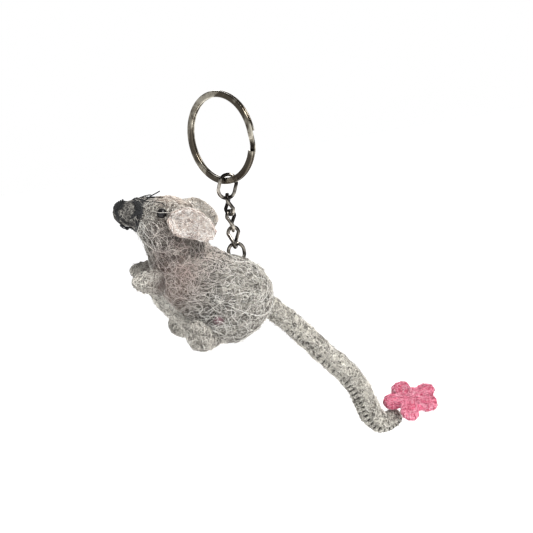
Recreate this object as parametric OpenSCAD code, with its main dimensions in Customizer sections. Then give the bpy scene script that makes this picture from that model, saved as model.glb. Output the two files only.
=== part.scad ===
// Felt mouse keyring: split ring, connector ring, curb chain, stitched felt mouse, tail and flower.
// Millimetres. +Z is up, the mouse faces -X, and its left side faces -Y.
// The origin is the hang point: the inner top of the split ring.

/* [Split ring] */
// Outside diameter of the split ring
ring_d = 30; // [25:1:35]
// Width of the flat wire, in the plane of the ring
ring_wire_w = 2.1; // [1.6:0.1:2.8]
// Thickness of one coil along the axis
ring_wire_t = 0.8; // [0.6:0.05:1.1]
// Gap between the two coils
ring_coil_gap = 0.06; // [0.02:0.01:0.2]
// Turn of the ring's plane about the vertical
ring_yaw = -56; // [-90:1:90]

/* [Chain] */
// Diameter of the link wire
wire_d = 1.2; // [0.9:0.05:1.5]
// Outside length of the oval connector ring
connector_len = 8.9; // [7:0.1:10]
// Outside width of the oval connector ring
connector_w = 6.4; // [5.5:0.1:8]
// Lean of the connector ring on the split ring
connector_lean = 22; // [0:1:25]
// Turn of the connector ring's plane about the vertical
connector_yaw = -4; // [-20:1:20]
// Slack between the connector ring and the split ring
connector_gap = 0.4; // [0.1:0.05:0.5]
// Outside length of a curb link
link_len = 7.8; // [7:0.1:10]
// Outside width of a curb link
link_w = 5.1; // [4.4:0.1:6]
// Twist of a curb link between its two crowns
link_twist = 45; // [40:1:90]
// Slack between two hooked wires
hook_gap = 0.06; // [0.03:0.01:0.15]
// Outside width of the end link
end_link_w = 6.2; // [5:0.1:8]
// Outside height of the end link
end_link_len = 7.1; // [5:0.1:9]

/* [Felt body] */
// Thickness of the body felt
felt_t = 1.4; // [1:0.1:2.5]
// Gap left at every seam
seam_gap = 0.05; // [0.02:0.01:0.2]
// Gap between the body and a piece that lies on it
contact_gap = 0.15; // [0.1:0.01:0.3]
// Half angle of the belly gusset as seen from the spine
gusset_half = 34; // [20:1:50]
// Size of a stuffing wad as a share of the hollow it lies in
stuffing_share = 0.42; // [0.3:0.01:0.95]

/* [Ears] */
// Length of an ear from root to tip
ear_len = 15.5; // [12:0.5:20]
// Thickness of the grey ear back
ear_back_t = 0.9; // [0.5:0.1:1.5]
// Thickness of the cream ear lining
ear_lining_t = 0.7; // [0.4:0.1:1.2]
// Depth of the cupped ear
ear_cup = 1.5; // [0:0.1:3]

/* [Face] */
// Diameter of a bead eye
eye_d = 3.3; // [2:0.1:4]
// Diameter of the black thread
thread_d = 0.36; // [0.2:0.02:0.6]
// Turns of thread wound round the snout
wrap_turns = 5; // [2:1:8]

/* [Tail] */
// Wall of the rolled tail felt
tail_wall = 1.5; // [1:0.1:2]
// Pitch of the tail whip stitches
tail_pitch = 2.0; // [1.5:0.1:4]
// Diameter of the felt-coloured sewing thread
stitch_d = 0.45; // [0.3:0.05:0.7]

/* [Flower] */
// Radius of the flower's middle
flower_mid_r = 5.2; // [4:0.1:6.5]
// Radius of a lobe
lobe_r = 3.0; // [2:0.1:4]
// Thickness of one flower layer
petal_t = 1.1; // [0.6:0.1:1.6]

/* [Hidden] */
$fn = 48;
wire_r = wire_d / 2;
thread_r = thread_d / 2;
stitch_r = stitch_d / 2;
ring_r = ring_d / 2;
ring_in_r = ring_r - ring_wire_w;
ring_c = [0, 0, -ring_in_r];
ring_pitch = ring_wire_t + ring_coil_gap;
step_from = -21;
step_to = 4;
hook = wire_d + hook_gap;

// Chain stations: the lowest point of the split ring's inner wall, then each wire's centre in turn.
ring_low = [0, 0, -2 * ring_in_r];
connector_mid_r = (connector_w - wire_d) / 2;
connector_straight = connector_len - wire_d - 2 * connector_mid_r;
connector_top = ring_low + [0, 0, wire_r + connector_gap];
connector_low = connector_top - [0, 0, 2 * connector_mid_r]
    - connector_straight * [
        sin(connector_lean) * cos(connector_yaw), sin(connector_lean) * sin(connector_yaw), cos(connector_lean)
    ];
link_rise = link_len - wire_d;
link1_top = connector_low + [0, 0, hook];
link2_top = link1_top + [0, 0, hook - link_rise];
link3_top = link2_top + [0, 0, hook - link_rise];
end_top = link3_top + [0, 0, hook - link_rise];
end_rise = end_link_len - wire_d;
end_low = end_top - [0, 0, end_rise];
// Each link's upper crown stands across the lower crown above it, at 66 to 78 degrees.
link1_yaw = connector_yaw + 78;
link2_yaw = link1_yaw + link_twist - 77;
link3_yaw = link2_yaw + link_twist - 66;
end_yaw = connector_yaw;

// Sections of the body from the snout tip to the rump.
// Each row: x and z of the back line, x and z of the belly line, half width.
body_rows = [
    [-37.7, -30.3, -37.5, -32.6, 1.2],
    [-36.2, -28.5, -35.6, -35.0, 2.9],
    [-32.5, -27.8, -32.7, -36.2, 4.4],
    [-28.4, -27.9, -31.1, -38.3, 6.0],
    [-23.5, -28.4, -30.0, -41.2, 7.5],
    [-18.0, -28.9, -29.2, -44.2, 8.7],
    [-13.0, -32.2, -28.7, -47.2, 9.3],
    [-10.9, -38.6, -28.6, -50.8, 9.3],
    [-8.8, -45.6, -29.3, -55.2, 10.2],
    [-3.7, -49.8, -29.3, -59.6, 11.6],
    [2.2, -53.0, -27.3, -63.4, 12.7],
    [6.4, -58.0, -24.2, -67.2, 13.2],
    [8.0, -64.6, -20.4, -71.0, 12.8],
    [5.4, -70.3, -15.6, -74.4, 11.2],
    [0.6, -73.9, -11.2, -76.5, 8.2],
    [-3.6, -76.1, -8.0, -77.2, 3.6],
    [-5.4, -77.0, -6.6, -77.3, 1.0]
];
body_last = len(body_rows) - 1;
body_rings = 32;
side_steps = 12;
gusset_from = 6.6;
gusset_steps = 5;

eye_u = 4.51;
eye_a = 66.5;
pocket_half = [4.1, 1.75];
tail_ball_r = 3.4;

// Centre line of the tail and its radius.
tail_rows = [
    [6.5, 0, -68.7, 3.4],
    [12.5, 0, -75.3, 3.4],
    [17.6, 0, -81.5, 3.45],
    [22.8, 0, -88.4, 3.5],
    [27.9, 0, -94.6, 3.6],
    [31.5, 0, -100.3, 3.7],
    [33.6, 0.1, -106.4, 3.7],
    [35.2, 0.3, -111.5, 3.6],
    [38.4, 0.7, -114.8, 3.4],
    [42.1, 1.2, -114.4, 3.0],
    [44.9, 1.6, -112.5, 2.5]
];
tail_last = len(tail_rows) - 1;
tail_step = tail_pitch / 7.2;
tail_base = [tail_rows[0][0], 0, tail_rows[0][2]];

flower_c = [49.1, 0.0, -109.2];
flower_tilt = 29;
// Each lobe of the hand-cut flower: its angle and how far its centre is from the middle.
lobes = [[171, 6.2], [103, 6.8], [24, 6.5], [-29, 5.8], [-112, 6.1]];

// How far an ear's lower and upper edges are from its middle line, from root to tip.
ear_edges = [[2.2, 0.4], [4.6, 3.0], [5.2, 4.5], [4.5, 4.8], [3.9, 4.3], [3.4, 3.4], [1.6, 1.3]];

// ---------------------------------------------------------------- curves and grids

// A smooth curve through four rows, at share t of the way from b to c.
function smooth(a, b, c, d, t) =
    0.5 * (2 * b + (c - a) * t + (2 * a - 5 * b + 4 * c - d) * t * t + (3 * b - a - 3 * c + d) * t * t * t);

// The row at place u of a table, where u counts rows.
function along(rows, u) =
    let (last = len(rows) - 1, i = max(0, min(floor(u), last - 1)))
    smooth(rows[max(i - 1, 0)], rows[i], rows[i + 1], rows[min(i + 2, last)], u - i);

function unit(v) = v / norm(v);

// A point of the body's surface: u along the body, a round it from the back (0) by the left (90).
function body_point(u, a, grow = 0) =
    let (
        row = along(body_rows, u),
        back = [row[0], 0, row[1]],
        belly = [row[2], 0, row[3]],
        half = norm(back - belly) / 2,
        up = unit(back - belly)
    )
    (back + belly) / 2
        + max(half + grow, 0.15) * cos(a) * up
        + max(row[4] + grow, 0.15) * sin(a) * [0, -1, 0];

// A tail frame at u: the centre, two cross directions and the radius.
function tail_frame(u) =
    let (
        row = along(tail_rows, u),
        ahead = along(tail_rows, min(u + 0.05, tail_last)),
        behind = along(tail_rows, max(u - 0.05, 0)),
        dir = unit([ahead[0] - behind[0], ahead[1] - behind[1], ahead[2] - behind[2]]),
        side = unit(cross(dir, [0, 1, 0])),
        flat = cross(side, dir)
    )
    [[row[0], row[1], row[2]], side, flat, row[3], dir];

// A point of the tail's surface: a = 0 is its upper edge, 90 its left side.
function tail_point(u, a, grow = 0) =
    let (f = tail_frame(u))
    f[0] + (f[3] + grow) * (cos(a) * f[1] - sin(a) * f[2]);

function half_gusset(u) = gusset_half * min(1, max(0.03, (u - gusset_from) / 1.6));

function flat_list(rows) = [for (row = rows) for (p = row) p];

// Faces of a grid of m rows by n points, starting at point number at; closed joins each row's ends.
function grid_faces(m, n, at, closed, flip) = [
    for (i = [0:m - 2], j = [0:(closed ? n - 1 : n - 2)])
        let (
            a = at + i * n + j,
            b = at + i * n + (j + 1) % n,
            c = at + (i + 1) * n + (j + 1) % n,
            d = at + (i + 1) * n + j
        )
        for (t = flip ? [[a, c, b], [a, d, c]] : [[a, b, c], [a, c, d]]) t
];

// A closed tube through rings of points, with flat ends.
module loft(rings) {
    m = len(rings);
    n = len(rings[0]);
    start_cap = [for (j = [0:n - 1]) j];
    end_cap = [for (j = [n - 1:-1:0]) (m - 1) * n + j];
    polyhedron(flat_list(rings), concat(grid_faces(m, n, 0, true, true), [start_cap, end_cap]), 8);
}

// A plate between two grids of the same size.
module plate(outer, inner) {
    m = len(outer);
    n = len(outer[0]);
    k = m * n;
    rim = concat(
        [for (j = [0:n - 2]) for (t = [[j, k + j, k + j + 1], [j, k + j + 1, j + 1]]) t],
        [for (j = [0:n - 2]) let (a = (m - 1) * n + j) for (t = [[a, k + a + 1, k + a], [a, a + 1, k + a + 1]]) t],
        [for (i = [0:m - 2]) let (a = i * n) for (t = [[a, a + n, k + a + n], [a, k + a + n, k + a]]) t],
        [for (i = [0:m - 2]) let (a = i * n + n - 1) for (t = [[a, k + a + n, a + n], [a, k + a, k + a + n]]) t]
    );
    polyhedron(
        concat(flat_list(outer), flat_list(inner)),
        concat(grid_faces(m, n, 0, false, false), grid_faces(m, n, k, false, true), rim),
        8
    );
}

// A thread through a list of points.
module thread(path, r, sides = 5) {
    last = len(path) - 1;
    loft([
        for (i = [0:last])
            let (
                dir = unit(path[min(i + 1, last)] - path[max(i - 1, 0)]),
                ref = abs(dir[2]) < 0.8 ? [0, 0, 1] : [1, 0, 0],
                u = unit(cross(dir, ref)),
                v = cross(dir, u)
            )
            [for (j = [0:sides - 1]) path[i] + r * (cos(j * 360 / sides) * u + sin(j * 360 / sides) * v)]
    ]);
}

// ---------------------------------------------------------------- metal

// A straight round bar from one point to another, with ball ends a hair thicker than the bar.
module bar(from, to, r) {
    d = to - from;
    translate(from) {
        sphere(1.015 * r);
        rotate([0, acos(d[2] / norm(d)), atan2(d[1], d[0])]) cylinder(h = norm(d), r = r);
    }
    translate(to) sphere(1.015 * r);
}

// A half ring of wire that opens downwards, in the XZ plane; its top centre line is at the origin.
module crown(mid_r, r) {
    translate([0, 0, -mid_r]) rotate([90, 0, 0]) rotate_extrude(angle = 180) translate([mid_r, 0]) circle(r);
}

// A link: a top crown, a bottom crown turned by twist, and two straight sides between them.
module chain_link(top, yaw, twist, rise, width) {
    mid_r = (width - wire_d) / 2;
    translate(top) rotate([0, 0, yaw]) {
        crown(mid_r, wire_r);
        translate([0, 0, -rise]) rotate([0, 0, twist]) rotate([180, 0, 0]) crown(mid_r, wire_r);
        for (s = [-1, 1]) {
            bar(
                [s * mid_r, 0, -mid_r],
                [s * mid_r * cos(twist), s * mid_r * sin(twist), mid_r - rise],
                wire_r
            );
        }
    }
}

// The flattened wire of the split ring: a bar with rounded ends.
module wire_profile() {
    half = ring_wire_t / 2;
    translate([half, 0]) square([ring_wire_w - ring_wire_t, ring_wire_t]);
    translate([half, half]) circle(half);
    translate([ring_wire_w - half, half]) circle(half);
}

// One coil of the split ring: a flat arc from one angle to another, at height h along the axis.
module coil(from, to, h) {
    rotate([0, 0, from]) rotate_extrude(angle = to - from)
        translate([ring_in_r, h]) wire_profile();
}

// The short step between the coils: sections of the wire that sink from the near coil to the far one.
module coil_step(from, to, high, low) {
    steps = 10;
    loft([
        for (i = [0:steps])
            let (
                a = from + (to - from) * i / steps,
                sink = (1 - cos(180 * i / steps)) / 2,
                h = high + (low - high) * sink
            )
            [for (c = [0:30:330])
                let (
                    half = ring_wire_t / 2,
                    across = half * 0.99 * cos(c) + (cos(c) > 0 ? ring_wire_w - half : half),
                    r = ring_in_r + across
                )
                [r * cos(a), r * sin(a), h + half + 0.99 * half * sin(c)]]
    ]);
}

module split_ring() {
    low = -ring_pitch / 2 - ring_wire_t / 2;
    high = ring_pitch / 2 - ring_wire_t / 2;
    color([0.72, 0.71, 0.69]) translate(ring_c) rotate([90, 0, ring_yaw]) {
        coil(step_to, 360 + step_from, low);
        coil(step_to, 360 + step_from, high);
        coil_step(step_to + 1.2, step_from - 1.2, high, low);
    }
}

module connector_ring() {
    color([0.5, 0.49, 0.47]) translate(connector_top - [0, 0, connector_mid_r])
        rotate([0, 0, connector_yaw]) rotate([0, connector_lean, 0])
            chain_link([0, 0, connector_mid_r], 0, 0, connector_len - wire_d, connector_w);
}

module chain_link_1() {
    color([0.5, 0.49, 0.47]) chain_link(link1_top, link1_yaw, link_twist, link_rise, link_w);
}

module chain_link_2() {
    color([0.5, 0.49, 0.47]) chain_link(link2_top, link2_yaw, link_twist, link_rise, link_w);
}

module chain_link_3() {
    color([0.5, 0.49, 0.47]) chain_link(link3_top, link3_yaw, link_twist, link_rise, link_w);
}

module end_link() {
    color([0.5, 0.49, 0.47]) chain_link(end_top, end_yaw, 0, end_rise, end_link_w);
}

// ---------------------------------------------------------------- felt body

// The whole outside of the body, or its inside when grow is negative.
module body_volume(grow, from = 0, to = body_last, rings = body_rings) {
    loft([
        for (i = [0:rings])
            let (u = from + (to - from) * i / rings)
            [for (a = [0:10:350]) body_point(u, a, grow)]
    ]);
}

// Room for the end link to roll under the back seam.
module link_pocket() {
    translate(end_low) rotate([0, 0, end_yaw]) {
        translate([-pocket_half[0], -pocket_half[1], -1.2])
            cube([2 * pocket_half[0], 2 * pocket_half[1], 8]);
    }
}

// Room for the root of the tail to swing.
module tail_recess() {
    translate(tail_base) sphere(tail_ball_r + 0.35, $fn = 24);
}

module eye_ball(r) {
    translate(body_point(eye_u, eye_a, -0.35)) sphere(r, $fn = 24);
}

module side_panel() {
    us = [for (i = [0:body_rings]) body_last * i / body_rings];
    outer = [for (u = us) let (end = 180 - (u > gusset_from - 0.4 ? half_gusset(u) : 0))
        [for (j = [0:side_steps]) body_point(u, 0.2 + (end - 0.4) * j / side_steps)]];
    inner = [for (u = us) let (end = 180 - (u > gusset_from - 0.4 ? half_gusset(u) : 0))
        [for (j = [0:side_steps]) body_point(u, 0.2 + (end - 0.4) * j / side_steps, -felt_t)]];
    difference() {
        plate(outer, inner);
        link_pocket();
        tail_recess();
        eye_ball(eye_d / 2 + 0.02);
    }
}

module left_side_panel() {
    color([0.56, 0.54, 0.52]) side_panel();
}

module right_side_panel() {
    color([0.56, 0.54, 0.52]) difference() {
        mirror([0, 1, 0]) side_panel();
        link_pocket();
    }
}

module belly_gusset() {
    us = [for (i = [0:20]) gusset_from - 0.4 + (body_last - gusset_from + 0.4) * i / 20];
    grid = [for (grow = [0, -felt_t]) [for (u = us)
        [for (j = [0:gusset_steps])
            let (half = half_gusset(u) - 0.2)
            body_point(u, 180 - half + 2 * half * j / gusset_steps, grow)]]];
    color([0.82, 0.8, 0.76]) plate(grid[0], grid[1]);
}

// Three loose wads, one behind the other, so that the hollow is only partly filled.
module body_stuffing() {
    color([0.9, 0.89, 0.86]) for (span = [[3.2, 6.6], [7.1, 10.2], [10.7, 14.2]]) {
        loft([
            for (i = [0:8])
                let (
                    u = span[0] + (span[1] - span[0]) * i / 8,
                    swell = sqrt(max(0.02, 1 - pow(2 * i / 8 - 1, 2))),
                    mid = (body_point(u, 0) + body_point(u, 180)) / 2
                )
                [for (a = [0:30:330]) mid + stuffing_share * swell * (body_point(u, a, -felt_t) - mid)]
        ]);
    }
}

// A short stitch laid over the surface of the body.
module body_stitch(u, a, lean, half_width) {
    thread(
        [for (i = [-2:2])
            body_point(u + lean * i / 2, a + half_width * i / 2, stitch_r + 0.12 - 0.05 * abs(i))],
        stitch_r
    );
}

module back_seam_stitches() {
    color([0.42, 0.4, 0.39]) for (i = [0:25]) {
        u = 4.2 + i * 0.34;
        if ((u < 8.7 || u > 10.35) && u < 12.2) {
            body_stitch(u, 0, 0.1, 14 - 0.4 * abs(u - 5));
        }
    }
}

module belly_seam_stitches() {
    color([0.42, 0.4, 0.39]) for (s = [-1, 1], i = [0:11]) {
        u = 7.6 + i * 0.5;
        body_stitch(u, 180 + s * half_gusset(u), 0.12, 6);
    }
}

// Loops over the end link's lower wire, from one panel to the other.
module anchor_thread() {
    loop_r = wire_r + 0.16 + stitch_r;
    crown_r = (end_link_w - wire_d) / 2;
    color([0.36, 0.35, 0.34]) translate(end_low) rotate([0, 0, end_yaw]) for (x = [-0.9, -0.3, 0.3, 0.9]) {
        rise = crown_r - sqrt(crown_r * crown_r - x * x);
        thread(
            concat(
                [[x, -pocket_half[1] + stitch_r + 0.02, -0.5]],
                [for (a = [-20:20:200]) [x, -loop_r * cos(a), rise + loop_r * sin(a)]],
                [[x, pocket_half[1] - stitch_r - 0.02, -0.5]]
            ),
            stitch_r
        );
    }
}

// ---------------------------------------------------------------- ears

// A point of a left ear: s from root to tip, v from its lower edge (-1) to its upper edge (1).
function ear_point(root, dip, flare, s, v, out) =
    let (
        along_dir = [cos(dip) * cos(flare), -sin(flare), -sin(dip) * cos(flare)],
        across = [sin(dip), 0, cos(dip)],
        side = cross(across, along_dir) * -1,
        edges = along(ear_edges, 6 * s),
        reach = v * (v < 0 ? edges[0] : edges[1])
    )
    root + ear_len * s * along_dir + reach * across
        - side * (ear_cup * (1 - v * v) * sin(180 * min(1, 0.25 + s)) - out);

module ear(root, dip, flare, low, high) {
    steps = 9;
    rows = 11;
    outer = [for (i = [0:rows]) [for (j = [0:steps])
        ear_point(root, dip, flare, i / rows, 2 * j / steps - 1, high)]];
    inner = [for (i = [0:rows]) [for (j = [0:steps])
        ear_point(root, dip, flare, i / rows, 2 * j / steps - 1, low)]];
    difference() {
        plate(outer, inner);
        body_volume(contact_gap);
    }
}

left_ear_root = [-21.1, -8.7, -33.5];
right_ear_root = [-16.6, -9.2, -32.4];
left_ear_dip = 34;
right_ear_dip = 33.5;

module left_ear_back() {
    color([0.6, 0.57, 0.55]) ear(left_ear_root, left_ear_dip, 12, 0, ear_back_t);
}

module left_ear_lining() {
    color([0.86, 0.79, 0.75])
        ear(left_ear_root, left_ear_dip, 12, ear_back_t + seam_gap, ear_back_t + seam_gap + ear_lining_t);
}

module right_ear_back() {
    color([0.6, 0.57, 0.55]) mirror([0, 1, 0]) ear(right_ear_root, right_ear_dip, 9, 0, ear_back_t);
}

module right_ear_lining() {
    color([0.86, 0.79, 0.75]) mirror([0, 1, 0])
        ear(right_ear_root, right_ear_dip, 9, ear_back_t + seam_gap, ear_back_t + seam_gap + ear_lining_t);
}

// ---------------------------------------------------------------- face

module left_eye() {
    color([0.05, 0.05, 0.06]) translate(body_point(eye_u, eye_a, -0.35)) sphere(eye_d / 2);
}

module right_eye() {
    color([0.05, 0.05, 0.06]) mirror([0, 1, 0])
        translate(body_point(eye_u, eye_a, -0.35)) sphere(eye_d / 2);
}

// Satin stitches over the snout tip: a ridged cap.
module nose_stitches() {
    tip = [-39.2, 0, -31.4];
    ridges = [for (i = [0:7])
        let (u = 1.32 * (1 - i / 7), close = i == 7 ? 0.55 : 1)
        [for (j = [0:23])
            let (p = body_point(max(u, 0), j * 15, 0.5 + 0.12 * (j % 2)), mid = tip)
            i < 7 ? p : mid + close * (p - mid)]];
    color([0.06, 0.06, 0.08]) difference() {
        loft(ridges);
        body_volume(contact_gap);
    }
}

module mouth_thread() {
    color([0.06, 0.06, 0.08]) {
        thread([for (i = [0:8]) body_point(0.35 + 1.65 * i / 8, 166 - 3 * i, 0.32)], thread_r);
        thread([for (i = [0:6]) body_point(1.5 + 0.9 * i / 6, 150 + 4 * i, 0.42 + 0.7 * sin(30 * i))], thread_r);
    }
}

// Turns of thread round the snout, just behind the nose.
module snout_wrap() {
    color([0.06, 0.06, 0.08]) thread(
        [for (i = [0:18 * wrap_turns])
            body_point(2.35 + 0.13 * i / 18, i * 20, thread_r + 0.16 + 0.1 * sin(47 * i))],
        thread_r
    );
}

// A loose end that starts in the winding and follows or leaves the head.
module whisker(u0, a0, u1, a1, lift) {
    thread(
        [for (i = [0:6])
            let (t = i / 6)
            body_point(u0 + (u1 - u0) * t, a0 + (a1 - a0) * t, thread_r + 0.12 + lift * t)],
        thread_r * 0.8
    );
}

module whisker_threads() {
    color([0.06, 0.06, 0.08]) {
        whisker(3.05, 18, 4.15, 26, 2.3);
        whisker(3.05, 25, 3.6, 12, 0.9);
        whisker(3.05, 40, 4.2, 36, 0.25);
        whisker(3.05, 55, 3.72, 49, 0.1);
        whisker(3.05, -20, 4.2, -30, 1.4);
        whisker(3.05, -45, 4.1, -40, 0.2);
    }
}

// ---------------------------------------------------------------- paws

// A point of a padded paw, flattened sideways, on the left side: t from root to tip, a round it.
function paw_point(paw, t, a, grow) =
    let (
        d = paw[1] - paw[0],
        up = unit(cross([0, -1, 0], unit(d))),
        wide = cross(unit(d), up),
        r = paw[2] + (paw[3] - paw[2]) * t,
        swell = sqrt(max(0.02, 1 - pow(max(0, (t - 0.45) / 0.55), 2.4))),
        sunk = pow(max(0, 1 - t / 0.6), 1.4)
    )
    paw[0] + d * t + [0, paw_sink * sunk, 0]
        + (swell * r * (1 - 0.12 * sunk) + grow) * cos(a) * up
        + (swell * r * paw[4] * (1 - 0.3 * sunk) + grow) * sin(a) * wide;

module paw_shape(paw) {
    difference() {
        loft([for (i = [0:10]) [for (a = [0:24:336]) paw_point(paw, i / 10, a, 0)]]);
        body_volume(contact_gap);
    }
}

// Stitches over the upper and lower edge of a paw.
module paw_edge(paw, first) {
    for (edge = [0, 180], t = [first:0.13:0.95]) {
        thread(
            [for (k = [-2:2]) paw_point(paw, t + 0.012 * k, edge + 22 * k, stitch_r + 0.16 - 0.04 * abs(k))],
            stitch_r * 0.8
        );
    }
}

// Each paw: root, tip, root radius, tip radius, flatness.
left_arm_paw = [[-25.5, -9.6, -54.3], [-36.6, -10.4, -52.2], 5.0, 3.5, 0.6];
right_arm_paw = [[-25.5, -9.6, -53.2], [-35.0, -9.6, -50.9], 4.2, 3.2, 0.62];
left_leg_paw = [[-7.5, -8.6, -72.4], [-22.6, -10.6, -72.6], 4.6, 6.3, 0.5];
right_leg_paw = [[-8.5, -8.6, -72.0], [-25.4, -10.4, -70.9], 4.6, 5.6, 0.5];

// How far a paw's root lies inside the body.
paw_sink = 4.0;

module left_arm() {
    color([0.58, 0.55, 0.53]) paw_shape(left_arm_paw);
}

module right_arm() {
    color([0.58, 0.55, 0.53]) mirror([0, 1, 0]) paw_shape(right_arm_paw);
}

module left_leg() {
    color([0.62, 0.6, 0.57]) paw_shape(left_leg_paw);
}

module right_leg() {
    color([0.62, 0.6, 0.57]) mirror([0, 1, 0]) paw_shape(right_leg_paw);
}

module paw_stitches() {
    color([0.3, 0.29, 0.28]) {
        paw_edge(left_arm_paw, 0.56);
        mirror([0, 1, 0]) paw_edge(right_arm_paw, 0.56);
        paw_edge(left_leg_paw, 0.69);
        mirror([0, 1, 0]) paw_edge(right_leg_paw, 0.69);
    }
}

// ---------------------------------------------------------------- tail

// Rings of the tail between two places, with rounded ends; grow is negative for the inside.
function tail_rings(from, to, count, sides, grow) = [
    for (i = [0:count])
        let (
            u = from + (to - from) * i / count,
            f = tail_frame(u),
            r = f[3] + grow,
            gap = norm(f[0] - tail_frame(from)[0]),
            left = norm(f[0] - tail_frame(to)[0]),
            head = gap < r * 0.98 ? sqrt(max(0.04, 1 - pow(1 - gap / r, 2))) : 1,
            end = left < r * 0.98 ? sqrt(max(0.04, 1 - pow(1 - left / r, 2))) : 1
        )
        [for (j = [0:sides - 1])
            let (a = j * 360 / sides)
            f[0] + min(head, end) * r * (cos(a) * f[1] - sin(a) * f[2])]
];

module tail_felt() {
    color([0.6, 0.59, 0.55]) difference() {
        union() {
            loft(tail_rings(0, tail_last, 44, 16, 0));
            translate(tail_base) sphere(tail_ball_r, $fn = 24);
        }
        loft(tail_rings(0.45, tail_last - 0.3, 34, 12, -tail_wall));
    }
}

module tail_core() {
    color([0.85, 0.84, 0.8]) loft(tail_rings(0.5, tail_last - 0.35, 30, 10, -tail_wall - 0.1));
}

module tail_seam_stitches() {
    count = floor((tail_last - 1.1) / tail_step);
    color([0.34, 0.33, 0.31]) for (i = [0:count]) {
        u = 0.75 + i * tail_step;
        thread(
            [for (k = [-2:2]) tail_point(u + 0.07 * k, 150 - 13 * k, stitch_r + 0.12 - 0.04 * abs(k))],
            stitch_r
        );
    }
}

// ---------------------------------------------------------------- flower

module petals_outline() {
    circle(flower_mid_r);
    for (lobe = lobes) {
        rotate(lobe[0]) translate([lobe[1], 0]) circle(lobe_r);
    }
}

// The flower's own frame: its face looks along +Z before the tilt.
module place_flower() {
    translate(flower_c) rotate([flower_tilt, 0, 0]) children();
}

module flower_front() {
    color([0.9, 0.5, 0.6]) place_flower() translate([0, 0, seam_gap / 2])
        linear_extrude(petal_t) petals_outline();
}

module flower_back() {
    color([0.85, 0.42, 0.53]) place_flower() translate([0, 0, -petal_t - seam_gap / 2])
        linear_extrude(petal_t) petals_outline();
}

module flower_stitches() {
    h = petal_t + seam_gap + stitch_r * 0.8;
    color([0.62, 0.18, 0.28]) place_flower() for (lobe = lobes, k = [-2:2]) {
        rotate(lobe[0]) translate([lobe[1], 0, 0]) rotate(k * 40)
            thread(
                [[lobe_r - 1.0, 0, h], [lobe_r + 0.05, 0, h], [lobe_r + 0.25, 0, 0],
                    [lobe_r + 0.05, 0, -h], [lobe_r - 1.0, 0, -h]],
                stitch_r * 0.7
            );
    }
}

// ---------------------------------------------------------------- drawing

split_ring();
connector_ring();
chain_link_1();
chain_link_2();
chain_link_3();
end_link();
left_side_panel();
right_side_panel();
belly_gusset();
body_stuffing();
back_seam_stitches();
belly_seam_stitches();
anchor_thread();
left_ear_back();
left_ear_lining();
right_ear_back();
right_ear_lining();
left_eye();
right_eye();
nose_stitches();
mouth_thread();
snout_wrap();
whisker_threads();
left_arm();
right_arm();
left_leg();
right_leg();
paw_stitches();
tail_felt();
tail_core();
tail_seam_stitches();
flower_front();
flower_back();
flower_stitches();
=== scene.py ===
"""Looks of the felt mouse keyring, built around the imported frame.

Lengths in the tables are millimetres in the row frame; meshes are made in metres.
Surfaces are sampled on grids, so stitches and fibres are laid on the same felt they belong to.
"""

import math

import bpy
import numpy as np
from mathutils import Matrix, Vector, noise


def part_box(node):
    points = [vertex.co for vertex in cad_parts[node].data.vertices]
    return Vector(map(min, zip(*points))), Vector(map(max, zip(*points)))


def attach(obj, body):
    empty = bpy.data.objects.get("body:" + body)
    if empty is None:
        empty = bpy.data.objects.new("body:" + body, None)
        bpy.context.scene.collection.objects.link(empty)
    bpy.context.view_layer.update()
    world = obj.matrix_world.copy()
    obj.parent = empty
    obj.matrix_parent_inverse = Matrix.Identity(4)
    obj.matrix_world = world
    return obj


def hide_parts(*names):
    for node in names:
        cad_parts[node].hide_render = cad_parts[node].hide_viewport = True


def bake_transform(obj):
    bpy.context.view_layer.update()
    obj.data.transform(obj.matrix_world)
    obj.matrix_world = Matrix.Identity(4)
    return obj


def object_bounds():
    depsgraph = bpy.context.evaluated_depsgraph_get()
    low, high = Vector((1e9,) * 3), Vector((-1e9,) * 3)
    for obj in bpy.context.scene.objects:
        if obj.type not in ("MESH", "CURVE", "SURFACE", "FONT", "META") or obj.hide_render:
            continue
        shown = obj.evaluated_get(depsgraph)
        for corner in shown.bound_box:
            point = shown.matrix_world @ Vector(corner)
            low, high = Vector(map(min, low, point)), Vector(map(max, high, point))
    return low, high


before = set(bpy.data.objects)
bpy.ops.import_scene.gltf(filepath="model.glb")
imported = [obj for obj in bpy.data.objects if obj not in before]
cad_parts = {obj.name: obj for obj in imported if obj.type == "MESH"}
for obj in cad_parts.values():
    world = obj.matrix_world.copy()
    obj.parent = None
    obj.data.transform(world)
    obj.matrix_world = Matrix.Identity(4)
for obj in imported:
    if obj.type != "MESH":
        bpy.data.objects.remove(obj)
cad_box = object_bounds()

MM = 0.001

# ---------------------------------------------------------------- camera

AIM = Vector((8.0, 0.0, -56.3)) * MM
DISTANCE = 0.478
AZIMUTH = math.radians(-10)
ELEVATION = math.radians(8)
ROLL = math.radians(9)
LENS = 100

forward = Vector((
    -math.sin(AZIMUTH) * math.cos(ELEVATION), math.cos(AZIMUTH) * math.cos(ELEVATION), -math.sin(ELEVATION),
))
level = Vector((math.cos(AZIMUTH), math.sin(AZIMUTH), 0))
over = level.cross(forward)
right = math.cos(ROLL) * level - math.sin(ROLL) * over
upward = math.sin(ROLL) * level + math.cos(ROLL) * over
camera = bpy.data.objects.new("camera", bpy.data.cameras.new("camera"))
bpy.context.scene.collection.objects.link(camera)
camera.data.lens = LENS
camera.data.clip_start = 0.01
camera.data.clip_end = 20
turn = Matrix((right, upward, -forward)).transposed().to_4x4()
camera.matrix_world = Matrix.Translation(AIM - forward * DISTANCE) @ turn
bpy.context.scene.camera = camera

# ---------------------------------------------------------------- the part's own sections

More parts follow.
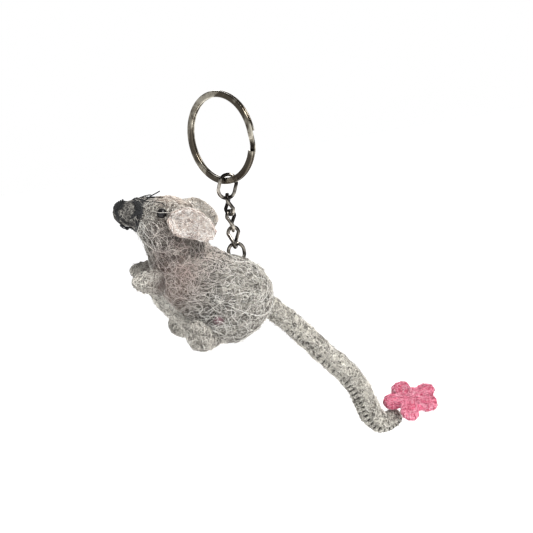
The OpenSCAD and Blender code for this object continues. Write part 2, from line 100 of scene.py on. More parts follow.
# Sections of the body: x and z of the back line, x and z of the belly line, half width.
BODY = np.array([
    [-37.7, -30.3, -37.5, -32.6, 1.2],
    [-36.2, -28.5, -35.6, -35.0, 2.9],
    [-32.5, -27.8, -32.7, -36.2, 4.4],
    [-28.4, -27.9, -31.1, -38.3, 6.0],
    [-23.5, -28.4, -30.0, -41.2, 7.5],
    [-18.0, -28.9, -29.2, -44.2, 8.7],
    [-13.0, -32.2, -28.7, -47.2, 9.3],
    [-10.9, -38.6, -28.6, -50.8, 9.3],
    [-8.8, -45.6, -29.3, -55.2, 10.2],
    [-3.7, -49.8, -29.3, -59.6, 11.6],
    [2.2, -53.0, -27.3, -63.4, 12.7],
    [6.4, -58.0, -24.2, -67.2, 13.2],
    [8.0, -64.6, -20.4, -71.0, 12.8],
    [5.4, -70.3, -15.6, -74.4, 11.2],
    [0.6, -73.9, -11.2, -76.5, 8.2],
    [-3.6, -76.1, -8.0, -77.2, 3.6],
    [-5.4, -77.0, -6.6, -77.3, 1.0],
])
BODY_LAST = len(BODY) - 1
GUSSET_FROM = 6.6
GUSSET_HALF = 34

# Centre line of the tail and its radius.
TAIL = np.array([
    [6.5, 0, -68.7, 3.4],
    [12.5, 0, -75.3, 3.4],
    [17.6, 0, -81.5, 3.45],
    [22.8, 0, -88.4, 3.5],
    [27.9, 0, -94.6, 3.6],
    [31.5, 0, -100.3, 3.7],
    [33.6, 0.1, -106.4, 3.7],
    [35.2, 0.3, -111.5, 3.6],
    [38.4, 0.7, -114.8, 3.4],
    [42.1, 1.2, -114.4, 3.0],
    [44.9, 1.6, -112.5, 2.5],
])
TAIL_LAST = len(TAIL) - 1

FELT = 1.4
# How far an ear's lower and upper edges are from its middle line, from root to tip.
EAR_EDGES = np.array([[2.2, 0.4], [4.6, 3.0], [5.2, 4.5], [4.5, 4.8], [3.9, 4.3], [3.4, 3.4], [1.6, 1.3]])
EAR_LEN = 15.5
EAR_CUP = 1.5
# Each ear: root, dip, flare, side of the body.
EARS = {
    "left": ([-21.1, -8.7, -33.5], 34, 12, 1),
    "right": ([-16.6, -9.2, -32.4], 33.5, 9, -1),
}
# Each paw: root, tip, root radius, tip radius, flatness, side of the body.
PAWS = {
    "left_arm": ([-20.8, -8.6, -55.4], [-36.6, -10.4, -52.2], 4.4, 3.6, 0.6, 1),
    "right_arm": ([-21.2, -8.6, -54.3], [-35.0, -9.6, -50.9], 3.8, 3.3, 0.62, -1),
    "left_leg": ([-7.5, -8.6, -72.4], [-22.6, -10.6, -72.6], 4.6, 6.3, 0.5, 1),
    "right_leg": ([-8.5, -8.6, -72.0], [-25.4, -10.4, -70.9], 4.6, 5.6, 0.5, -1),
}
FLOWER_AT = np.array([49.1, 0.0, -109.2])
FLOWER_TILT = math.radians(29)
FLOWER_MID = 5.2
LOBES = [(171, 6.2), (103, 6.8), (24, 6.5), (-29, 5.8), (-112, 6.1)]
LOBE_R = 3.0
PETAL = 1.1
RING_YAW = math.radians(-56)

# ---------------------------------------------------------------- numbers and surfaces


def along(table, u):
    """Rows of a table at places u, on a smooth curve through them."""
    u = np.asarray(u, float)
    last = len(table) - 1
    i = np.clip(np.floor(u).astype(int), 0, last - 1)
    t = (u - i)[..., None]
    a, b = table[np.maximum(i - 1, 0)], table[i]
    c, d = table[i + 1], table[np.minimum(i + 2, last)]
    square = (2 * a - 5 * b + 4 * c - d) * t**2
    return 0.5 * (2 * b + (c - a) * t + square + (3 * b - a - 3 * c + d) * t**3)


def unit(v):
    v = np.asarray(v, float)
    return v / np.maximum(np.linalg.norm(v, axis=-1, keepdims=True), 1e-9)


def body_point(u, a, grow=0.0):
    """Points of the plain body: u along it, a round it in degrees, 0 at the back, 90 on the left."""
    u, a, grow = np.broadcast_arrays(np.asarray(u, float), np.radians(a), np.asarray(grow, float))
    row = along(BODY, u)
    back = np.stack([row[..., 0], 0 * u, row[..., 1]], -1)
    belly = np.stack([row[..., 2], 0 * u, row[..., 3]], -1)
    half = np.linalg.norm(back - belly, axis=-1) / 2
    up = unit(back - belly)
    high = np.maximum(half + grow, 0.15) * np.cos(a)
    wide = np.maximum(row[..., 4] + grow, 0.15) * np.sin(a)
    return (back + belly) / 2 + high[..., None] * up + wide[..., None] * np.array([0, -1, 0])


def half_gusset(u):
    """Half the belly gusset's angle at places along the body, in degrees."""
    return GUSSET_HALF * np.clip((np.asarray(u, float) - GUSSET_FROM) / 1.6, 0.03, 1)


def rough(points, size, amount, seed, octaves=1):
    """Smooth noise at points, in millimetres, with features of a size."""
    flat = points.reshape(-1, 3) / size + seed
    out = np.zeros(len(flat))
    for k in range(octaves):
        step, share = 2.0**k, 0.55**k
        out += share * np.array([noise.noise(p) for p in (flat * step).tolist()])
    return amount * out.reshape(points.shape[:-1])


def normals(grid):
    """Normals of a grid surface from its own rows and columns."""
    return unit(np.cross(np.gradient(grid, axis=0), np.gradient(grid, axis=1)))


def sampled(grid, i, j, closed):
    """Values of a grid at row i and column j, where both may lie between its points."""
    m, n = grid.shape[:2]
    i = np.clip(i, 0, m - 1.001)
    j = np.mod(j, n) if closed else np.clip(j, 0, n - 1.001)
    i0, j0 = i.astype(int), j.astype(int) % n
    i1 = np.minimum(i0 + 1, m - 1)
    j1 = (j0 + 1) % n if closed else np.minimum(j0 + 1, n - 1)
    s, t = i - i0, j - j.astype(int)
    if grid.ndim == 3:
        s, t = s[..., None], t[..., None]
    return (
        grid[i0, j0] * (1 - s) * (1 - t)
        + grid[i1, j0] * s * (1 - t)
        + grid[i0, j1] * (1 - s) * t
        + grid[i1, j1] * s * t
    )


def grid_faces(m, n, at=0, closed=False, flip=False):
    """Faces of a grid of m rows by n points whose first point is number at."""
    i, j = np.meshgrid(np.arange(m - 1), np.arange(n if closed else n - 1), indexing="ij")
    a = at + i * n + j
    b = at + i * n + (j + 1) % n
    c, d = b + n, a + n
    order = (a, d, c, b) if flip else (a, b, c, d)
    return np.stack(order, -1).reshape(-1, 4)


def make(name, points, faces):
    """A mesh piece from points in millimetres and faces of three or four corners."""
    mesh = bpy.data.meshes.new(name)
    points = np.asarray(points, np.float32).reshape(-1, 3) * MM
    sizes = np.array([len(f) for f in faces], np.int32)
    corners = np.concatenate([np.asarray(f, np.int32) for f in faces])
    mesh.vertices.add(len(points))
    mesh.vertices.foreach_set("co", points.ravel())
    mesh.loops.add(len(corners))
    mesh.loops.foreach_set("vertex_index", corners)
    mesh.polygons.add(len(sizes))
    starts = np.concatenate([[0], np.cumsum(sizes)[:-1]]).astype(np.int32)
    mesh.polygons.foreach_set("loop_start", starts)
    mesh.polygons.foreach_set("loop_total", sizes)
    mesh.polygons.foreach_set("use_smooth", np.full(len(sizes), True))
    mesh.update(calc_edges=True)
    mesh.validate()
    obj = bpy.data.objects.new(name, mesh)
    bpy.context.scene.collection.objects.link(obj)
    return obj


def plate_mesh(outer, inner):
    """Points and faces of a closed plate between two grids of the same size."""
    m, n = outer.shape[:2]
    k = m * n
    rim = []
    for j in range(n - 1):
        e = (m - 1) * n + j
        rim.append([j, k + j, k + j + 1, j + 1])
        rim.append([e, e + 1, k + e + 1, k + e])
    for i in range(m - 1):
        a, b = i * n, i * n + n - 1
        rim.append([a, a + n, k + a + n, k + a])
        rim.append([b, k + b, k + b + n, b + n])
    faces = [*grid_faces(m, n), *grid_faces(m, n, k, flip=True), *rim]
    return np.concatenate([outer.reshape(-1, 3), inner.reshape(-1, 3)]), faces


def loft_mesh(rings):
    """Points and faces of a closed tube through rings, with a fan at each end."""
    m, n = rings.shape[:2]
    points = np.concatenate([rings.reshape(-1, 3), rings[:1].mean(1), rings[-1:].mean(1)])
    first, last, end = m * n, m * n + 1, (m - 1) * n
    faces = list(grid_faces(m, n, closed=True))
    faces += [[first, (j + 1) % n, j] for j in range(n)]
    faces += [[last, end + j, end + (j + 1) % n] for j in range(n)]
    return points, faces


def merged(parts):
    """One set of points and faces from several."""
    points, faces, at = [], [], 0
    for p, f in parts:
        points.append(p)
        faces += [np.asarray(face) + at for face in f]
        at += len(p)
    return np.concatenate(points), faces


def eased(path, count):
    """A path resampled to count points on a smooth curve."""
    path = np.asarray(path, float)
    return along(path, np.linspace(0, len(path) - 1, count))


# A direction that no thread runs along, to turn its cross section by.
ODD_WAY = np.array([0.31, 0.85, 0.42])


def cross_ways(path):
    """Two directions across a path at each of its points."""
    ahead = unit(np.gradient(path, axis=0))
    u = unit(np.cross(ahead, ODD_WAY))
    return u, np.cross(ahead, u)


def tube(path, radius, sides, taper):
    """Points and faces of a thread along a path, thinner at its ends by the share taper."""
    u, v = cross_ways(path)
    t = np.linspace(0, 1, len(path))
    r = radius * (1 - taper * np.abs(2 * t - 1) ** 3)
    c = np.linspace(0, 2 * np.pi, sides, endpoint=False)
    spokes = np.cos(c)[None, :, None] * u[:, None] + np.sin(c)[None, :, None] * v[:, None]
    return loft_mesh(path[:, None] + r[:, None, None] * spokes)


PLIES = 2
PLY_PITCH = 1.1


def twisted(path, radius, taper=0.35):
    """A sewing thread: plies wound round each other along a path."""
    path = np.asarray(path, float)
    length = np.linalg.norm(np.diff(path, axis=0), axis=1).sum()
    count = max(7, int(length / 0.16))
    path = eased(path, count)
    u, v = cross_ways(path)
    turns = np.linspace(0, 2 * np.pi * length / PLY_PITCH, count)
    parts = []
    for k in range(PLIES):
        c = turns + 2 * np.pi * k / PLIES
        offset = 0.5 * radius * (np.cos(c)[:, None] * u + np.sin(c)[:, None] * v)
        parts.append(tube(path + offset, 0.56 * radius, 6, taper))
    return merged(parts)


def fibres(
    surface, outward, count, seed, length=(3.0, 7.5), curl=0.55, lift=(0.03, 0.16), radius=(0.05, 0.105),
    free=0.2, stand=(0.3, 0.9), comb=None, closed=False, avoid=(),
):
    """Curled fibres that wander over a grid surface; a share of them, free, stand off it at one end.

    Those that come nearer than a distance to a point in avoid, or reach an open grid's edge, are
    left out. With comb they mostly run along the grid's first direction, within that spread.
    """
    rng = np.random.RandomState(seed)
    m, n = surface.shape[:2]
    du = np.linalg.norm(np.gradient(surface, axis=0), axis=-1) + 1e-4
    across = (np.roll(surface, -1, 1) - surface) if closed else np.gradient(surface, axis=1)
    dv = np.linalg.norm(across, axis=-1) + 1e-4
    weight = (du * dv).ravel()
    start = rng.choice(m * n, count, p=weight / weight.sum())
    i = (start // n) + rng.rand(count) - 0.5
    j = (start % n) + rng.rand(count) - 0.5
    steps = 7
    span = rng.uniform(*length, count) / steps
    heading = rng.uniform(0, 2 * np.pi, count)
    if comb:
        heading = rng.normal(0, comb, count) + np.pi * (heading > np.pi)
    bend = rng.normal(0, curl, count)
    high = rng.uniform(*lift, count)
    loose = rng.rand(count) < free
    rise = np.where(loose, rng.uniform(*stand, count), 0.0)
    path, up = [], []
    clear = np.ones(count, bool)
    for k in range(steps + 1):
        t = k / steps
        normal = unit(sampled(outward, i, j, closed))
        wave = 0.04 * np.sin(6 * t + start)
        place = sampled(surface, i, j, closed)
        path.append(place + normal * (high + wave + rise * t**2.5)[:, None])
        up.append(normal)
        heading = heading + bend + rng.normal(0, 0.25, count)
        i = i + span * np.cos(heading) / sampled(du, i, j, closed)
        j = j + span * np.sin(heading) / sampled(dv, i, j, closed)
        if not closed:
            clear &= (j > 0) & (j < n - 1) & (i > 0) & (i < m - 1)
            j = np.clip(j, 0, n - 1)
        i = np.clip(i, 0, m - 1)
    path, up = np.array(path), np.array(up)
    profile = np.array([0.3, 0.8, 1, 1, 1, 0.95, 0.75, 0.3])
    thick = rng.uniform(*radius, count)[None, :] * profile[:, None]
    for point, distance in avoid:
        clear &= np.linalg.norm(path - point, axis=-1).min(0) > distance
    path, up, thick, count = path[:, clear], up[:, clear], thick[:, clear], int(clear.sum())
    ahead = unit(np.gradient(path, axis=0))
    side = unit(np.cross(ahead, up))
    top = np.cross(side, ahead)
    corners = [
        path + thick[..., None] * (math.cos(c) * side + math.sin(c) * top)
        for c in (math.pi / 2, math.pi * 7 / 6, math.pi * 11 / 6)
    ]
    points = np.stack(corners, 2).transpose(1, 0, 2, 3)
    size = (steps + 1) * 3
    quads = grid_faces(steps + 1, 3, closed=True, flip=True)
    tris = np.array([[0, 1, 2], [size - 1, size - 2, size - 3]])
    base = (np.arange(count) * size)[:, None, None]
    faces = [*(quads + base).reshape(-1, 4), *(tris + base).reshape(-1, 3)]
    return points.reshape(-1, 3), faces


# ---------------------------------------------------------------- materials


class Nodes:
    """A short way to build one node material."""

    def __init__(self, name):
        self.material = bpy.data.materials.new(name)
        self.material.use_nodes = True
        self.tree = self.material.node_tree
        self.shader = self.tree.nodes["Principled BSDF"]
        self.place = self.add("ShaderNodeTexCoord").outputs["Object"]

    def add(self, kind, inputs=None, **settings):
        node = self.tree.nodes.new(kind)
        for key, value in settings.items():
            setattr(node, key, value)
        for key, value in (inputs or {}).items():
            self.give(node.inputs[key], value)
        return node

    def give(self, socket, value):
        """Links a socket to another one, or sets its value."""
        if isinstance(value, bpy.types.NodeSocket):
            self.tree.links.new(value, socket)
        else:
            socket.default_value = value

    def noise(self, scale, detail=2.0, offset=(0, 0, 0), distortion=0.0, stretch=(1, 1, 1), rough=0.5):
        moved = {"Vector": self.place, "Location": offset, "Scale": stretch}
        inputs = {
            "Vector": self.add("ShaderNodeMapping", moved).outputs[0],
            "Scale": scale, "Detail": detail, "Roughness": rough, "Distortion": distortion,
        }
        return self.add("ShaderNodeTexNoise", inputs).outputs[0]

    def math(self, operation, a, b=0.0):
        return self.add("ShaderNodeMath", {0: a, 1: b}, operation=operation).outputs[0]

    def span(self, value, low, high, to_low=0.0, to_high=1.0):
        inputs = {"Value": value, "From Min": low, "From Max": high, "To Min": to_low, "To Max": to_high}
        return self.add("ShaderNodeMapRange", inputs, clamp=True).outputs[0]

    def mix(self, share, a, b):
        """One colour over another by a share; a plain colour is its three parts from 0 to 255."""
        node = self.add("ShaderNodeMix", {0: share}, data_type="RGBA")
        for socket, colour in ((node.inputs[6], a), (node.inputs[7], b)):
            self.give(socket, srgb(*colour) if isinstance(colour, tuple) else colour)
        return node.outputs[2]

    def tinted(self, under, marks):
        """Colour with round, cloudy marks on it: each a colour, its middle, its reach, its strength."""
        shift = self.span(self.noise(140, 3, offset=(9, 4, 1)), 0.3, 0.6, 0.5, 1.0)
        for colour, middle, reach, strength in marks:
            inputs = {0: self.place, 1: middle}
            gap = self.add("ShaderNodeVectorMath", inputs, operation="DISTANCE").outputs[1]
            near = self.span(gap, 0.4 * reach, reach, strength, 0.0)
            under = self.mix(self.math("MULTIPLY", near, shift), under, colour)
        return under

    def bump(self, height, distance, strength=1.0, under=None):
        inputs = {"Height": height, "Distance": distance, "Strength": strength}
        if under is not None:
            inputs["Normal"] = under
        return self.add("ShaderNodeBump", inputs).outputs[0]

    def set(self, **values):
        for key, value in values.items():
            self.give(self.shader.inputs[key.replace("_", " ")], value)
        return self.material


def srgb(red, green, blue):
    """A colour given as the eye reads it, from 0 to 255."""
    parts = []
    for value in (red, green, blue):
        value /= 255
        parts.append(value / 12.92 if value <= 0.04045 else ((value + 0.055) / 1.055) ** 2.4)
    return (*parts, 1.0)


def felt(name, dark, light, hair, spots=(), stains_and_shade=(), hairs=0.9, specks=0.75):
    """Wool felt: mottled ground, dark specks and fine curled hairs in several sizes, all raised.

    Spots tint the ground only; the other marks, real stains and painted shade alike, tint the hairs on it
    too.
    """
    n = Nodes(name)
    grain = n.noise(1300, 4, distortion=0.6, rough=0.7)
    patch = n.noise(170, 3, offset=(3, 1, 2))
    mottle = n.math("ADD", grain, n.math("MULTIPLY", patch, 0.5))
    ground = n.tinted(n.mix(n.span(mottle, 0.64, 0.86), dark, light), spots)
    curls = None
    for scale, width, level_at, offset in (
        (360, 0.040, 0.5, (0, 0, 0)),
        (520, 0.050, 0.46, (5, 8, 3)),
        (280, 0.030, 0.54, (2, 7, 11)),
    ):
        wave = n.noise(scale, 1.5, offset=offset, distortion=1.3)
        line = n.span(n.math("ABSOLUTE", n.math("SUBTRACT", wave, level_at)), 0.0, width, 1.0, 0.0)
        curls = line if curls is None else n.math("MAXIMUM", curls, line)
    dim = n.span(n.noise(420, 2, offset=(4, 4, 9)), 0.38, 0.62, 0.1, 1.0)
    curls = n.math("MULTIPLY", curls, dim)
    colour = n.mix(n.math("MULTIPLY", curls, hairs), ground, hair)
    speck = n.span(n.noise(900, 2, offset=(8, 2, 5), distortion=0.5), 0.55, 0.65, 0.0, specks)
    colour = n.tinted(n.mix(speck, colour, (44, 41, 39)), stains_and_shade)
    height = n.math("ADD", n.math("MULTIPLY", curls, 0.8), grain)
    coarse = n.bump(n.noise(420, 3, offset=(7, 7, 7)), 0.0006, 0.8)
    n.set(
        Base_Color=colour,
        Roughness=0.95,
        Specular_IOR_Level=0.15,
        Sheen_Weight=0.1,
        Sheen_Roughness=0.6,
        Normal=n.bump(height, 0.0003, 1.0, under=coarse),
    )
    return n.material


def hair_material(name, *colours, stains_and_shade=()):
    """Loose fibres: each has its own shade between the given colours."""
    n = Nodes(name)
    own = n.add("ShaderNodeNewGeometry").outputs["Random Per Island"]
    ramp = n.add("ShaderNodeValToRGB", {"Fac": own})
    stops = ramp.color_ramp.elements
    while len(stops) < len(colours):
        stops.new(0.5)
    for k, colour in enumerate(colours):
        stops[k].position = k / (len(colours) - 1)
        stops[k].color = srgb(*colour)
    speck = n.noise(2500, 2)
    colour = n.mix(n.span(speck, 0.35, 0.7, 0.0, 0.35), ramp.outputs[0], (84, 80, 76))
    return n.set(
        Base_Color=n.tinted(colour, stains_and_shade), Roughness=0.8, Specular_IOR_Level=0.2, Sheen_Weight=0.1,
        Normal=n.bump(speck, 0.00003, 0.5),
    )


def thread_material(name, dark, light, gloss=0.7):
    """Spun thread: fine slanting fibres with a few lighter ones."""
    n = Nodes(name)
    strands = n.noise(1800, 3, stretch=(1, 1, 0.35), distortion=0.3)
    patch = n.noise(300, 2, offset=(1, 5, 2))
    colour = n.mix(n.span(n.math("MULTIPLY", strands, patch), 0.12, 0.42), dark, light)
    return n.set(
        Base_Color=colour, Roughness=gloss, Specular_IOR_Level=0.3, Sheen_Weight=0.15,
        Normal=n.bump(strands, 0.00006, 0.8),
    )


def metal(name, bright, dull, dark, low, high, groove=None):
    """Nickel plate: fine drawn scratches, clouding, and long darker stretches, which are painted reflections
    of a dark surround. A groove is the direction across a plane through the origin; the colour is darkened
    near that plane and, less, on the faces far from it.
    """
    n = Nodes(name)
    cloud = n.noise(260, 4, offset=(3, 3, 1), distortion=0.5)
    drawn = n.noise(900, 3, stretch=(1, 1, 6), offset=(1, 2, 8))
    spots = n.noise(1400, 3, offset=(6, 1, 1))
    worn = n.math("MULTIPLY", n.span(cloud, 0.4, 0.62), n.span(spots, 0.35, 0.6))
    # Painted reflection: long patches in the dark colour stand in for dark surroundings mirrored in the
    # metal.
    stretch = n.span(n.noise(160, 2, offset=(2, 3, 4), distortion=0.8), 0.42, 0.54)
    colour = n.mix(stretch, n.mix(worn, bright, dull), dark)
    if groove:
        across = n.add("ShaderNodeVectorMath", {0: n.place, 1: groove}, operation="DOT_PRODUCT")
        far = n.math("ABSOLUTE", across.outputs[1])
        side = n.span(far, 0.00055, 0.0008, 0.0, 0.55)
        groove_darkening = n.math("MAXIMUM", n.span(far, 0.00012, 0.00036, 0.92, 0.0), side)
        colour = n.mix(groove_darkening, colour, (38, 34, 30))
    shine = n.span(n.math("ADD", n.math("MULTIPLY", drawn, 0.5), cloud), 0.5, 1.0, low, high)
    return n.set(
        Base_Color=colour, Metallic=1.0, Roughness=shine,
        Normal=n.bump(drawn, 0.00003, 0.35, under=n.bump(cloud, 0.0001, 0.25)),
    )


def bead_material(name, dark, light):
    """A polished bead with faint handling marks."""
    n = Nodes(name)
    fine = n.noise(900, 3)
    return n.set(
        Base_Color=n.mix(n.span(fine, 0.4, 0.7), dark, light), Roughness=n.span(fine, 0.3, 0.7, 0.18, 0.34),
        Specular_IOR_Level=0.3, Coat_Weight=0.05, Coat_Roughness=0.2, Normal=n.bump(fine, 0.00004, 0.2),
    )


# Colours are red, green and blue as the eye reads them, from 0 to 255.
# Each mark on a surface has its colour, its middle in metres, its reach and its strength.
HAIR_PALE = (230, 226, 216)
WARM = (150, 126, 116)
PALE = (166, 164, 156)
SOOT = (24, 24, 28)
# Painted shade: a dull brown laid where the paws sink into the body.
HOLLOW_SHADE = (92, 80, 76)

BODY_SPOTS = (
    (PALE, (0.006, -0.006, -0.063), 0.026, 0.7),
    (PALE, (0.006, 0.008, -0.063), 0.026, 0.7),
)
# Marks on the body's felt and hairs: stains and tints, and painted shade under the near ear and along the
# near leg.
BODY_STAINS_AND_SHADE = (
    ((206, 188, 174), (-0.0185, 0.0, -0.029), 0.009, 0.6),
    ((60, 50, 46), (-0.0185, -0.003, -0.0275), 0.0028, 0.8),
    # Partly brown felt, partly the near ear's shadow painted on the neck below it.
    ((90, 74, 70), (-0.0205, -0.009, -0.0435), 0.013, 0.5),
    (WARM, (-0.024, -0.008, -0.056), 0.012, 0.4),
    # Painted shade along the near leg's top edge, where it meets the body.
    ((48, 44, 42), (-0.0187, -0.0108, -0.0652), 0.0040, 0.7),
    ((52, 47, 46), (-0.0152, -0.0112, -0.0676), 0.0042, 0.85),
    ((168, 122, 136), (-0.0118, -0.0122, -0.0684), 0.0022, 0.7),
    (SOOT, (-0.0375, 0.0, -0.0305), 0.0088, 0.45),
    (SOOT, (-0.0325, -0.003, -0.032), 0.0065, 0.4),
)
CURL_STAINS = (
    ((176, 150, 142), (-0.0165, -0.009, -0.045), 0.016, 0.7),
    ((186, 166, 160), (-0.024, -0.008, -0.056), 0.014, 0.6),
    ((232, 218, 206), (-0.0185, 0.0, -0.029), 0.010, 0.6),
)
# Painted shade darkening the arms and the near leg towards their roots, where they meet the body.
PAW_ROOT_SHADE = (
    (HOLLOW_SHADE, (-0.0225, -0.0095, -0.0535), 0.0115, 1.0),
    (HOLLOW_SHADE, (-0.0225, 0.0095, -0.0530), 0.0110, 0.8),
    ((120, 104, 104), (-0.0095, -0.0100, -0.0695), 0.0050, 0.6),
)
LINING_STAINS_AND_SHADE = (
    (WARM, (-0.0155, -0.0125, -0.0425), 0.0042, 0.45),
    (WARM, (-0.0105, -0.0135, -0.0445), 0.0042, 0.45),
    # Painted shadow cast by the ear's folded lower edge.
    ((70, 56, 50), (-0.0195, -0.0085, -0.0385), 0.0016, 0.8),
    ((88, 72, 66), (-0.0115, -0.0125, -0.0425), 0.0014, 0.7),
)
FLOWER_STAINS_AND_SHADE = (
    # Painted shadow where the tail's tip tucks under the flower.
    ((150, 44, 72), (0.0435, 0.0, -0.1118), 0.0038, 0.7),
    ((250, 176, 206), (0.0560, 0.0, -0.1120), 0.0036, 0.6),
    ((160, 46, 74), (0.0490, -0.001, -0.1045), 0.0024, 0.5),
    ((170, 52, 80), (0.0555, 0.0, -0.1050), 0.0020, 0.5),
)
GREYS = ((56, 52, 49), (140, 135, 128), (218, 213, 204), (236, 232, 223), (248, 245, 238))
DUSKS = ((40, 37, 34), (78, 74, 69), (118, 113, 106), (166, 161, 153), (226, 221, 212))

grey_felt = felt("grey_felt", (42, 39, 37), (112, 108, 102), HAIR_PALE, BODY_SPOTS, BODY_STAINS_AND_SHADE)
paw_felt = felt("paw_felt", (66, 63, 58), (154, 150, 142), (240, 236, 227), stains_and_shade=PAW_ROOT_SHADE)
tail_felt = felt("tail_felt", (84, 82, 75), (190, 187, 176), (246, 243, 233))
ear_felt = felt("ear_felt", (138, 124, 112), (226, 214, 202), (248, 241, 232), specks=0.9)
cream_felt = felt(
    "cream_felt", (104, 84, 78), (204, 186, 176), (250, 240, 232), stains_and_shade=LINING_STAINS_AND_SHADE, specks=0.7
)
pale_felt = felt("pale_felt", (112, 109, 103), (206, 203, 196), (246, 245, 240), specks=0.6)
pink_felt = felt(
    "pink_felt", (184, 62, 94), (238, 132, 160), (253, 196, 214), stains_and_shade=FLOWER_STAINS_AND_SHADE, hairs=0.8, specks=0.1
)
wadding = felt("wadding", (214, 212, 206), (244, 243, 240), (252, 252, 250), specks=0.0)
grey_hair = hair_material("grey_hair", *GREYS)
body_hair = hair_material("body_hair", *DUSKS, stains_and_shade=BODY_STAINS_AND_SHADE)
curl_hair = hair_material("curl_hair", (190, 186, 178), (238, 235, 228), (253, 252, 248), stains_and_shade=CURL_STAINS)
ear_hair = hair_material("ear_hair", (110, 96, 86), (240, 230, 218), (255, 250, 243), (255, 254, 251))
warm_hair = hair_material("warm_hair", (130, 106, 98), (240, 226, 216), (255, 250, 245), (255, 254, 252))
pink_hair = hair_material("pink_hair", (186, 64, 98), (236, 130, 160), (255, 206, 222))
paw_hair = hair_material("paw_hair", *GREYS, stains_and_shade=PAW_ROOT_SHADE)
grey_thread = thread_material("grey_thread", (26, 24, 23), (74, 70, 66))
pale_thread = thread_material("pale_thread", (118, 115, 109), (186, 183, 176))
black_thread = thread_material("black_thread", (6, 7, 9), (26, 28, 32), 0.6)
rose_thread = thread_material("rose_thread", (126, 28, 54), (190, 66, 98))
# Each metal's third colour is its painted dark reflection.
ring_nickel = metal(
    "ring_nickel", (214, 208, 192), (152, 143, 126), (92, 85, 74), 0.13, 0.28,
    groove=(-math.sin(RING_YAW), math.cos(RING_YAW), 0.0),
)
chain_nickel = metal("chain_nickel", (176, 170, 160), (92, 86, 80), (36, 33, 31), 0.06, 0.18)
black_bead = bead_material("black_bead", (3, 3, 4), (12, 12, 15))


def dress(obj, material):
    """Gives an object one material."""
    obj.data.materials.clear()
    obj.data.materials.append(material)
    return obj


def piece(name, shape, material, body, slot, *stands_for):
    """Makes a piece, dresses it and rides it on a body; with no body it is left unattached."""
    obj = dress(make(name, *shape), material)
    if body:
        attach(obj, body)
    if stands_for:
        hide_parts(*stands_for)
    return obj


# ---------------------------------------------------------------- metal

dress(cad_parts["split_ring"], ring_nickel)
for link in ("connector_ring", "chain_link_1", "chain_link_2", "chain_link_3", "end_link"):
    dress(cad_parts[link], chain_nickel)
for eye in ("left_eye", "right_eye"):
    dress(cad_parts[eye], black_bead)

# ---------------------------------------------------------------- the stuffed body

SIM_ROWS = 65
SIM_COLUMNS = 72
SIM_FRAMES = 20
# Metres in the simulation for each millimetre, because the cloth is steadier at a larger size.
SIM_SCALE = 0.03
# The most that the felt may bulge.
PUFF_CAP = 0.8
CLOTH = {
    "quality": 6, "mass": 0.2, "tension_stiffness": 12, "compression_stiffness": 12, "shear_stiffness": 6,
    "bending_stiffness": 1.2, "use_pressure": True, "uniform_pressure_force": 4, "shrink_min": -0.04,
    "vertex_group_mass": "held",
}
# Each seam's stitches start at a place along the body and follow at a pitch.
BACK_FROM, BACK_PITCH = 4.2, 0.34
BELLY_FROM, BELLY_PITCH = 7.6, 0.5


def off_stitch(u, start, pitch):
    """How far a place is from the nearest stitch, as a share of the pitch."""
    count = (u - start) / pitch
    return abs(count - round(count))


def puffed():
    """How far cloth held at the seam stitches bulges under the stuffing's pressure, on a grid."""
    us = np.linspace(0, BODY_LAST, SIM_ROWS)
    angles = np.arange(SIM_COLUMNS) * 360 / SIM_COLUMNS
    rest = body_point(us[:, None], angles[None, :], -0.5)
    shift = np.zeros_like(rest)
    points, faces = loft_mesh(rest)
    cloth_body = make("cloth_body", points * SIM_SCALE / MM, faces)
    held = []
    for i, u in enumerate(us):
        at_back = off_stitch(u, BACK_FROM, BACK_PITCH) < 0.4
        at_belly = off_stitch(u, BELLY_FROM, BELLY_PITCH) < 0.26
        for j, a in enumerate(angles):
            gusset = 180 - float(half_gusset(u))
            on_back = min(a, 360 - a) < 2.6 and at_back
            on_belly = min(abs(a - gusset), abs(360 - a - gusset)) < 2.6 and at_belly
            if i < 4 or i > SIM_ROWS - 4 or on_back or on_belly:
                held.append(i * SIM_COLUMNS + j)
    held += [SIM_ROWS * SIM_COLUMNS, SIM_ROWS * SIM_COLUMNS + 1]
    group = cloth_body.vertex_groups.new(name="held")
    group.add(held, 1.0, "REPLACE")
    cloth = cloth_body.modifiers.new("cloth", "CLOTH")
    for key, value in CLOTH.items():
        setattr(cloth.settings, key, value)
    cloth.settings.effector_weights.gravity = 0
    scene = bpy.context.scene
    cloth.point_cache.frame_end = SIM_FRAMES
    for step in range(1, SIM_FRAMES + 1):
        scene.frame_set(step)
    shape = cloth_body.evaluated_get(bpy.context.evaluated_depsgraph_get()).data
    moved = np.zeros(len(shape.vertices) * 3, np.float32)
    shape.vertices.foreach_get("co", moved)
    scene.frame_set(1)
    bpy.data.objects.remove(cloth_body)
    moved = moved.reshape(-1, 3)[: SIM_ROWS * SIM_COLUMNS].reshape(rest.shape) / SIM_SCALE
    shift = moved - rest
    size = np.linalg.norm(shift, axis=-1, keepdims=True)
    return shift * np.minimum(1, PUFF_CAP / np.maximum(size, 1e-6))


PUFF = puffed()


def puff_at(u, a):
    """The cloth's bulge at places on the body."""
    row = np.asarray(u) / BODY_LAST * (SIM_ROWS - 1)
    return sampled(PUFF, row, np.mod(a, 360) / 360 * SIM_COLUMNS, closed=True)


